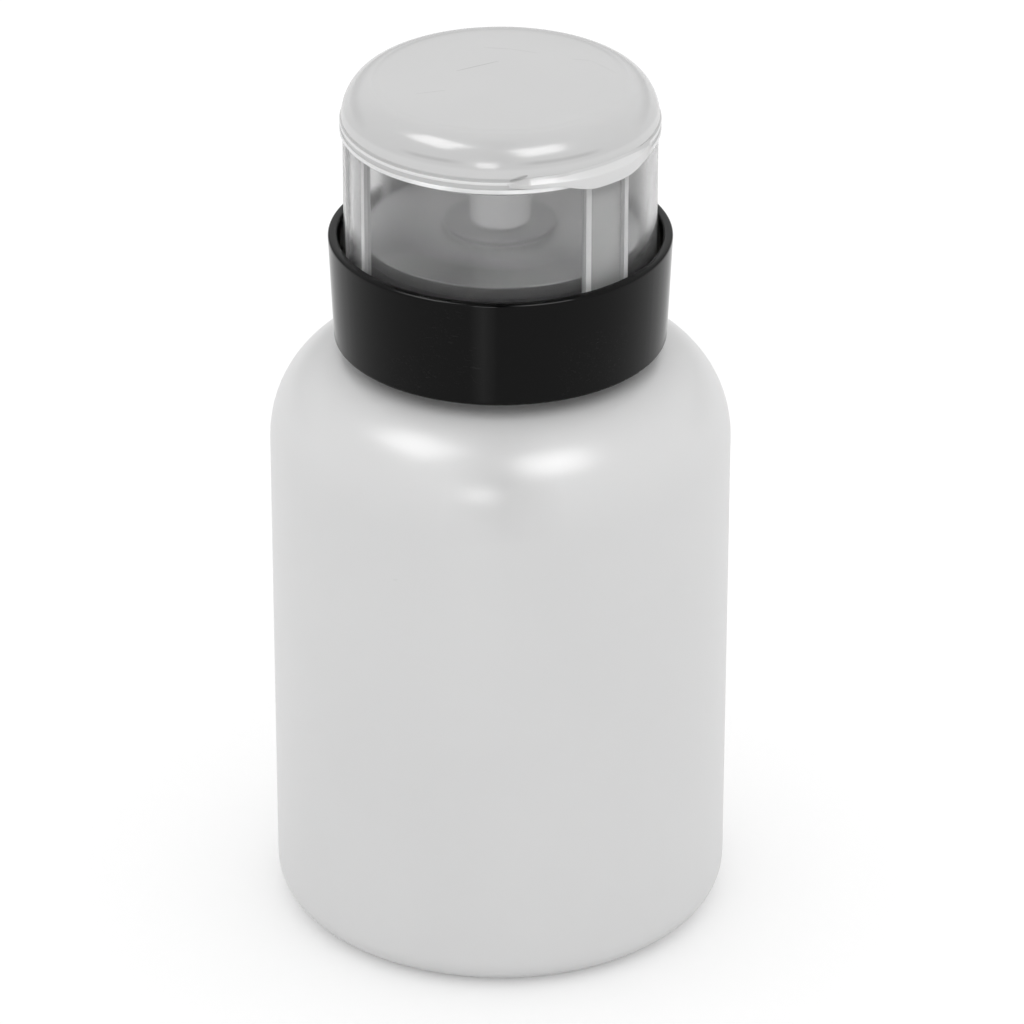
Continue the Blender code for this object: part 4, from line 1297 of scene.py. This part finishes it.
@dataclass
class Lip:
    """Finger lip on the lid's bead. It swells from the upper ridge at its blunt end.

    Further right it sinks a little, stands prouder and covers the lower ridge too.
    Azimuths that are named after a stretch are counted from the blunt end.
    """

    radius: float
    bead_radius: float
    bead_top: float
    bottom: float
    skirt: float
    start: float = 3.0  # azimuths of the blunt and the fading end
    full: float = 46.0  # azimuth from which it fades again
    end: float = 68.0
    swelling: float = 8.0
    sinking: Point = (9.0, 22.0)
    sloping: Point = (8.0, 26.0)
    widening: Point = (14.0, 32.0)
    proud: float = 0.0009
    narrow_share: float = 0.6  # how proud it is before it widens
    drop: float = 0.0005
    rise: float = 0.00055
    slope: float = 0.0008
    slope_least: float = 0.3
    slope_inset: float = 0.0002
    crest: float = 0.0002
    valley: float = 0.0004
    root: float = 0.0004  # how far it reaches into the lid
    skin: float = 0.0001  # how far its underside reaches under the lid
    ledge: float = 0.0001
    over_bead: Corner = (0.00005, 0.00003, 0.00002)  # outwards, up, down
    shoulder: float = 0.00015
    crease: float = 0.00012
    upper_edge: Point = (0.0001, 0.00022)  # least rounding and what is added to it
    lower_edge: Point = (0.00008, 0.00018)
    under_edge: float = 0.00003
    steps: int = 80

    def passed(self, azimuth: float, stretch: Point) -> float:
        """Return the share of a stretch that lies behind an azimuth."""
        return ramp(azimuth, self.start + stretch[0], self.start + stretch[1])

    def section(self, azimuth: float) -> list[Point]:
        """Give the lip's section at an azimuth.

        Args:
            azimuth: azimuth of the section.

        Returns:
            The points, always the same number of them.
        """
        near = self.passed(azimuth, (0.0, self.swelling))
        wide = self.passed(azimuth, self.widening)
        fading = 1.0 - ramp(azimuth, self.full, self.end)
        proud = self.proud * near * (self.narrow_share + (1.0 - self.narrow_share) * wide) * fading
        out, up, down = self.over_bead
        high = self.bead_top + up + self.rise * near * (1.0 - self.passed(azimuth, self.sinking))
        least = self.slope_least
        slope = self.passed(azimuth, self.sloping) * (least + (1.0 - least) * fading)
        valley = self.bottom + self.valley
        low = valley + (self.bottom - self.skirt - down - self.drop * fading - valley) * wide
        outer = self.bead_radius + out + proud
        inner, under = self.radius - self.root, self.radius - self.skin
        step = max(low, self.bottom) + self.ledge
        top = high + self.slope * slope
        corners = [
            (inner, top + self.crest, 0.0),
            (self.radius + self.skin - self.slope_inset * slope, top, self.crease),
            (outer, self.bead_top - self.shoulder, self.upper_edge[0] + self.upper_edge[1] * near),
            (outer, low, self.lower_edge[0] + self.lower_edge[1] * wide * fading),
            (under, low, self.under_edge),
            (under, step, 0.0),
            (inner, step, 0.0),
        ]
        return rounded(corners, steps=4, hold=False)

    def build(self) -> Item:
        """Return the lip as a swept solid."""
        ring = [self.start + (self.end - self.start) * step / self.steps for step in range(self.steps + 1)]
        return swept("lip", [[at(azimuth, *point) for point in self.section(azimuth)] for azimuth in ring])


@dataclass
class Lid:
    """Milky flip lid with a bead, a finger lip, a plug and the hinge's knuckle."""

    radius: float = 0.02163
    wall: float = 0.0012
    bottom: float = 0.1183
    bead_top: float = 0.1194
    bead_radius: float = 0.02183
    bead_edge: float = 0.00014
    round_run: float = 0.0044
    round_rise: float = 0.0055
    round_end: float = 6.0  # angle at which the dome's outer round ends
    crown: float = 0.0004
    plug_radius: float = 0.01943
    plug_wall: float = 0.0008
    plug_bottom: float = 0.1166
    plug_edge: float = 0.00025
    plug_step: float = 0.001
    groove_depth: float = 0.00012
    groove: Point = (0.00008, 0.00035)  # heights over the upper ridge
    groove_edge: float = 0.00005
    ridge_over: float = 0.0001  # how far each ridge reaches over the bead's heights
    ridge: float = 0.0004  # height of the bead's upper ridge
    valley_depth: float = 0.00002
    valley_slope: float = 0.00008
    valley_edge: float = 0.00006
    skirt: float = 0.0005  # how far the lower ridge hangs over the guard
    skirt_inner: float = 0.02151
    skirt_edge: float = 0.0001
    pad_root: float = 0.0002
    knuckle_arc: Point = (165.0, 405.0)  # where the knuckle's round end starts and ends
    hinge: Hinge = field(default_factory=Hinge)
    segments: int = 192

    def inner_angle(self, radius: float) -> float:
        """Return the angle on the dome's inner round where it reaches a radius."""
        return math.degrees(math.acos((radius - self.radius + self.round_run) / (self.round_run - self.wall)))

    def bead(self) -> list[Point]:
        """Give the outline of the groove and the bead's two ridges.

        Returns:
            The points, from the dome down to the flat under the wall.
        """
        edge, top, low = self.bead_edge, self.bead_top + self.ridge_over, self.bottom - self.skirt
        groove, valley = self.radius - self.groove_depth, self.radius - self.valley_depth
        corners = [
            (groove, top + self.groove[1], self.groove_edge),
            (groove, top + self.groove[0], self.groove_edge),
            (self.bead_radius, top, edge),
            (self.bead_radius, top - self.ridge, edge),
            (valley, top - self.ridge - self.valley_slope, self.valley_edge),
            (valley, self.bottom + self.ridge_over + self.valley_slope, self.valley_edge),
            (self.bead_radius, self.bottom + self.ridge_over, edge),
            (self.bead_radius, low, edge),
            (self.skirt_inner, low, self.skirt_edge),
            (self.skirt_inner, self.bottom, 0.0),
            (self.radius - self.wall, self.bottom, 0.0),
        ]
        return rounded(corners, closed=False, steps=4)

    def profile(self) -> list[Point]:
        """Give the profile, from the crown over the bead and the plug to the inside.

        Returns:
            The points, the first and the last of them on the axis.
        """
        centre = (self.radius - self.round_run, self.bead_top)
        crown_z = self.bead_top + self.round_rise
        inner = (self.round_run - self.wall, self.round_rise - self.wall)
        plug_inner = self.plug_radius - self.plug_wall
        inside = arc(centre, inner, 0, self.inner_angle(self.plug_radius), steps=4)
        corners = [
            (*inside[-1], 0.0),
            (self.plug_radius, self.plug_bottom, self.plug_edge),
            (plug_inner, self.plug_bottom, self.plug_edge),
            (plug_inner, self.plug_bottom + self.plug_step, 0.0),
        ]
        return [
            *arc((0.0, crown_z), (centre[0], self.crown), 90, 0, steps=10)[:-1],
            *arc(centre, (self.round_run, self.round_rise), 90, self.round_end, steps=22),
            *self.bead(),
            *inside,
            *rounded(corners, closed=False, steps=4)[1:-1],
            *arc(centre, inner, self.inner_angle(plug_inner), 90, steps=6),
            *arc((0.0, crown_z - self.wall), (centre[0], self.crown), 0, 90, steps=8)[1:],
        ]

    def knuckle(self) -> Item:
        """Make the knuckle with the pad that joins it to the dome.

        Returns:
            The new object.
        """
        hinge = self.hinge
        middle = self.radius - self.wall / 2
        outline = [
            (middle, self.bottom + self.pad_root),
            *hinge.arc(*self.knuckle_arc),
            (self.bead_radius + self.pad_root, hinge.height + hinge.pad_rise),
            (middle, hinge.height + hinge.pad_rise + hinge.pad_slope),
        ]
        return slab("knuckle", outline, hinge.knuckle_width, hinge.plane(), hinge.knuckle_edge)

    def build(self) -> None:
        """Make and dress the lid."""
        hinge = self.hinge
        length = hinge.knuckle_width + 2 * (hinge.gap + hinge.ear_thickness - hinge.pin_inset)
        item = turned("lid_shell", self.profile(), azimuths(self.segments), closed=False)
        lip = Lip(self.radius, self.bead_radius, self.bead_top, self.bottom, self.skirt)
        item = combined(item, lip.build(), Join.ADD)
        item = combined(item, self.knuckle(), Join.ADD)
        item = combined(item, hinge.rod("pins", hinge.pin_radius, length), Join.ADD)
        dress(item, Finish.MILKY_LID, "lid", "milky_lid", "flip_lid")


@dataclass
class Plunger:
    """Press dish with its hub, and the nozzle."""

    dish_radius: float = 0.01900
    dish_bottom: float = 0.1011
    dish_edge: float = 0.1030
    dish_floor: float = 0.1033
    dish_shelf: float = 0.1031
    step_radius: float = 0.0124
    step_width: float = 0.0020
    hub_radius: float = 0.0078
    hub_top: float = 0.1044
    hub_undercut: float = 0.0005
    hub_cap: float = 0.0005  # thickness of the hub's overhanging edge
    bore: float = 0.0029
    nozzle_bottom: float = 0.1045
    nozzle_top: float = 0.1125
    nozzle_radius: float = 0.0043
    nozzle_waist: float = 0.1081
    nozzle_groove: float = 0.00015
    groove_slope: float = 0.0001
    outlet_radius: float = 0.0007
    outlet_funnel: float = 2.4  # the funnel's width over the outlet's
    funnel_depth: float = 0.0004
    socket_top: float = 0.1073
    chamber_radius: float = 0.0019
    chamber_top: float = 0.1112
    step_edge: float = 0.0008
    round_edge: float = 0.0005
    soft_edge: float = 0.0003
    edge: float = 0.0002
    crease: float = 0.00015
    fine_edge: float = 0.0001
    segments: int = 144

    def dish(self) -> None:
        """Make and dress the dish."""
        under = self.hub_top - self.hub_cap
        core = self.hub_radius - self.hub_undercut
        corners = [
            (self.bore, self.hub_top, self.edge),
            (self.hub_radius, self.hub_top, self.edge),
            (self.hub_radius, under, self.fine_edge),
            (core, under, self.fine_edge),
            (core, self.dish_floor, self.crease),
            (self.step_radius - self.step_width, self.dish_floor, self.step_edge),
            (self.step_radius, self.dish_shelf, self.step_edge),
            (self.dish_radius, self.dish_edge, self.soft_edge),
            (self.dish_radius, self.dish_bottom, self.edge),
            (self.bore, self.dish_bottom, self.fine_edge),
        ]
        item = turned("dish", rounded(corners, steps=5), azimuths(self.segments))
        dress(item, Finish.GREY_DISH, "plunger", "grey_dish", "press_dish")

    def nozzle(self) -> None:
        """Make and dress the nozzle."""
        lower = self.nozzle_radius - self.nozzle_groove
        corners = [
            (self.outlet_radius, self.nozzle_top - self.funnel_depth, 0.0),
            (self.outlet_radius * self.outlet_funnel, self.nozzle_top, self.soft_edge),
            (self.nozzle_radius, self.nozzle_top, self.round_edge),
            (self.nozzle_radius, self.nozzle_waist, self.fine_edge),
            (lower, self.nozzle_waist - self.groove_slope, 0.0),
            (lower, self.nozzle_bottom, self.edge),
            (self.bore, self.nozzle_bottom, self.fine_edge),
            (self.bore, self.socket_top, self.fine_edge),
            (self.chamber_radius, self.socket_top, self.fine_edge),
            (self.chamber_radius, self.chamber_top, self.soft_edge),
            (self.outlet_radius, self.chamber_top, 0.0),
        ]
        item = turned("spout", rounded(corners, steps=4), azimuths(self.segments // 2))
        dress(item, Finish.NOZZLE, "plunger", "translucent_nozzle", "nozzle")

    def build(self) -> None:
        """Make the dish and the nozzle."""
        self.dish()
        self.nozzle()


@dataclass
class Spring:
    """Return spring of round wire, which shortens as the dish is pressed."""

    radius: float = 0.0044
    wire: float = 0.00045
    seat: float = 0.0598  # height of its fixed end
    low: float = 0.0603  # height of the wire's middle at the first turn
    high: float = 0.0817
    turns: int = 8
    closed_turns: float = 0.75  # turns that lie close at each end
    closed_rise: float = 0.00095
    travel: float = 0.0040
    steps: int = 28  # parts in a turn
    around: int = 10  # points round the wire

    def height(self, turn: float) -> float:
        """Give the height of the wire's middle.

        Args:
            turn: number of turns from the lower end.

        Returns:
            The height.
        """
        if turn < self.closed_turns:
            return self.low + self.closed_rise * turn
        if turn > self.turns - self.closed_turns:
            return self.high - self.closed_rise * (self.turns - turn)
        inset = self.closed_rise * self.closed_turns
        share = (turn - self.closed_turns) / (self.turns - 2 * self.closed_turns)
        return self.low + inset + (self.high - self.low - 2 * inset) * share

    def ring(self, turn: float) -> list[Vector]:
        """Return the points round the wire after a number of turns."""
        section = arc((self.radius, self.height(turn)), self.wire, 0, FULL_TURN, steps=self.around)[:-1]
        return [at(SIDE + FULL_TURN * turn, radius, height) for radius, height in section]

    def build(self) -> None:
        """Make the coiled wire, dress it and give it a mesh of its own."""
        rings = [self.ring(step / self.steps) for step in range(self.turns * self.steps + 1)]
        item = swept("coil_spring", rings)
        dress(item, Finish.STEEL, "pump", "steel", "return_spring")
        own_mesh(item)


@dataclass
class Inside:
    """The hidden pieces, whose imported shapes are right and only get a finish."""

    finishes: tuple[tuple[str, Finish], ...] = (
        ("screw_cap", Finish.BLACK_CAP),
        ("neck_gasket", Finish.SEAL),
        ("pump_housing", Finish.NATURAL),
        ("housing_cap", Finish.GREY_PUMP),
        ("stem_seal", Finish.SEAL),
        ("pump_stem", Finish.WHITE_PUMP),
        ("piston", Finish.NATURAL),
        ("spring_seat", Finish.GREY_PUMP),
        ("inlet_ball", Finish.STEEL),
        ("outlet_ball", Finish.STEEL),
        ("dip_tube", Finish.NATURAL),
    )

    def build(self) -> None:
        """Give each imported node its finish."""
        for name, finish in self.finishes:
            wear(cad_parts[name], finish.material())
            LOG.info("%s keeps its packed shape", name)


# Studio


@dataclass(frozen=True)
class Lamp:
    """One area lamp that faces the bottle from a direction."""

    name: str
    azimuth: float
    elevation: float
    distance: float
    size: Point
    radiance: float

    def direction(self) -> Vector:
        """Return the direction from the bottle to the lamp."""
        rise = math.radians(self.elevation)
        return at(self.azimuth, math.cos(rise), math.sin(rise))

    def power(self) -> float:
        """Return the lamp's power, which gives its face the wanted radiance."""
        return self.radiance * math.pi * self.size[0] * self.size[1]


@dataclass
class Studio:
    """White floor, white surroundings, soft lamps and the camera."""

    aim: Corner = (0.0, 0.0, 0.05886)
    distance: float = 0.8464
    elevation: float = 27.83
    lens: float = 212.5
    sensor: float = 36.0
    shift: float = 0.0113
    reach: Point = (0.01, 20.0)  # nearest and farthest that the camera sees
    floor_size: float = 3.0
    floor_sides: int = 96
    floor_colour: float = 0.8
    floor_cloud: float = 0.995
    floor_cloud_scale: float = 4.0
    floor_roughness: float = 0.9
    floor_lift: float = 0.21
    gloss_lift: float = 0.08  # the same for rays of gloss
    # painted reflection: a pale streak that glows in the floor for gloss rays alone, so the collar mirrors it
    streak: Patch = Patch(0.9, -1.0, 1.0, 0.13, azimuth=-11.0, half_width=9.0, fade=9.0, edge=0.05)
    sky: float = 1.06
    sky_tilt: Corner = (0.02, 0.02, 0.0)  # how much brighter the right and the far side are
    strip_half: float = 0.22  # dark strip between the lamps, seen in gloss alone
    strip_rise: Point = (0.15, 0.4)
    strip_depth: Point = (-0.1, 0.25)
    strip_gain: float = 1.0
    flag_low: Point = (-0.03, 0.05)  # dark flag behind the bottle, seen in gloss alone
    flag_high: Point = (0.18, 0.36)
    flag_depth: Point = (0.3, 0.6)
    flag_gain: float = 0.6
    lamps: tuple[Lamp, ...] = (
        Lamp("softbox_left", -69.5, 58.0, 1.2, (0.62, 0.48), 8.6),
        Lamp("softbox_right", 35.5, 50.5, 1.2, (0.60, 0.48), 8.7),
        Lamp("flash", -9.9, 20.5, 0.9, (0.21, 0.18), 10.0),
    )

    def stand(self, name: str, data: bpy.types.ID, direction: Vector, distance: float) -> Item:
        """Stand a camera or a lamp at a distance, facing the middle of the bottle.

        Args:
            name: name of the new object.
            data: the camera's or the lamp's data.
            direction: direction from the bottle.
            distance: distance from the bottle's middle.

        Returns:
            The new object.
        """
        item = bpy.data.objects.new(name, data)
        bpy.context.scene.collection.objects.link(item)
        item.location = Vector(self.aim) + direction * distance
        item.rotation_euler = (-direction).to_track_quat("-Z", "Y").to_euler()
        return item

    def camera(self) -> None:
        """Make the camera at the photograph's viewing angle."""
        data = bpy.data.cameras.new("camera")
        data.sensor_width = self.sensor
        data.lens = self.lens
        data.shift_x = self.shift
        data.clip_start, data.clip_end = self.reach
        rise = math.radians(self.elevation)
        back = Vector((0.0, -math.cos(rise), math.sin(rise)))
        bpy.context.scene.camera = self.stand("camera", data, back, self.distance)

    def light(self, lamp: Lamp) -> None:
        """Make an area lamp, which only gives gloss.

        Args:
            lamp: its place, size and radiance.
        """
        data = bpy.data.lights.new(lamp.name, "AREA")
        data.shape = "RECTANGLE"
        data.size, data.size_y = lamp.size
        data.energy = lamp.power()
        self.stand(lamp.name, data, lamp.direction(), lamp.distance).visible_diffuse = False

    def floor(self) -> None:
        """Make the floor, a disc with a white finish that keeps the shadow."""
        shape = bmesh.new()
        bmesh.ops.create_circle(shape, cap_ends=True, segments=self.floor_sides, radius=self.floor_size / 2)
        item = from_bmesh("floor", shape)
        made, tree, shader, place = new_material("white_floor")
        tone = grey(self.floor_colour)
        cloud = tree.group(Group.SKIN, Vector=place, Cloud_Scale=self.floor_cloud_scale)["Cloud"]
        # the painted glow streak, seen in gloss alone
        paler = tree.times(self.streak.mask(tree, place), self.streak.tone)
        rays = tree.node("LightPath").outputs
        direct = tree.math("MAXIMUM", rays["Is Camera Ray"], rays["Is Transmission Ray"])
        gloss = tree.times(rays["Is Glossy Ray"], tree.math("ADD", paler, self.gloss_lift))
        tree.filled(
            shader,
            {
                "Base Color": tree.blend(cloud, shade(tone, self.floor_cloud), shade(tone)),
                "Roughness": self.floor_roughness,
                "Specular IOR Level": 0.0,
                "Emission Color": tree.math("ADD", tree.times(direct, self.floor_lift), gloss),
                "Emission Strength": 1.0,
            },
        )
        wear(item, made)

    def dark_parts(self, tree: Tree, towards: Socket) -> Socket:
        """Darken what gloss rays see of the gap between the softboxes and of the flag behind.

        Args:
            tree: the world's tree.
            towards: direction of the ray.

        Returns:
            The share of light that is gone.
        """
        across, depth, height = tree.parts(towards)
        narrow = tree.left(tree.between(tree.math("ABSOLUTE", across), 0.0, self.strip_half))
        front = tree.left(tree.between(depth, *self.strip_depth))
        strip = tree.times(tree.times(narrow, tree.between(height, *self.strip_rise)), front)
        above, beyond = tree.between(height, *self.flag_low), tree.between(height, *self.flag_high)
        flag = tree.times(tree.math("SUBTRACT", above, beyond), tree.between(depth, *self.flag_depth))
        both = tree.math("MAXIMUM", tree.times(strip, self.strip_gain), tree.times(flag, self.flag_gain))
        return tree.times(both, tree.node("LightPath").outputs["Is Glossy Ray"])

    def surroundings(self) -> None:
        """Light the scene evenly, and show plain white to the camera, in gloss and through glass."""
        world = bpy.data.worlds.new("studio")
        bpy.context.scene.world = world
        world.use_nodes = True
        tree = Tree(world.node_tree)
        rays = tree.node("LightPath").outputs
        seen = tree.math("MAXIMUM", rays["Is Camera Ray"], rays["Is Glossy Ray"])
        seen = tree.math("MAXIMUM", seen, rays["Is Transmission Ray"])
        towards = tree.node("TexCoord").outputs["Generated"]
        lit = tree.math("ADD", tree.along(towards, self.sky_tilt), self.sky)
        bright = tree.math("ADD", tree.times(seen, tree.left(lit)), lit)
        strength = tree.times(bright, tree.left(self.dark_parts(tree, towards)))
        back = world.node_tree.nodes["Background"].inputs
        tree.feed(back["Color"], shade(grey(1.0)))
        tree.feed(back["Strength"], strength)

    def build(self) -> None:
        """Make the studio."""
        self.camera()
        self.floor()
        self.surroundings()
        for lamp in self.lamps:
            self.light(lamp)
        bpy.context.scene.view_settings.view_transform = "Standard"


def main() -> None:
    """Build and dress every sub-assembly, then the studio."""
    logging.basicConfig(level=logging.INFO, format="%(name)s: %(message)s")
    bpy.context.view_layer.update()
    for part in (Bottle(), Closure(), Guard(), Lid(), Plunger(), Spring(), Inside(), Studio()):
        LOG.info("building %s", type(part).__name__)
        part.build()


if __name__ == "__main__":
    main()
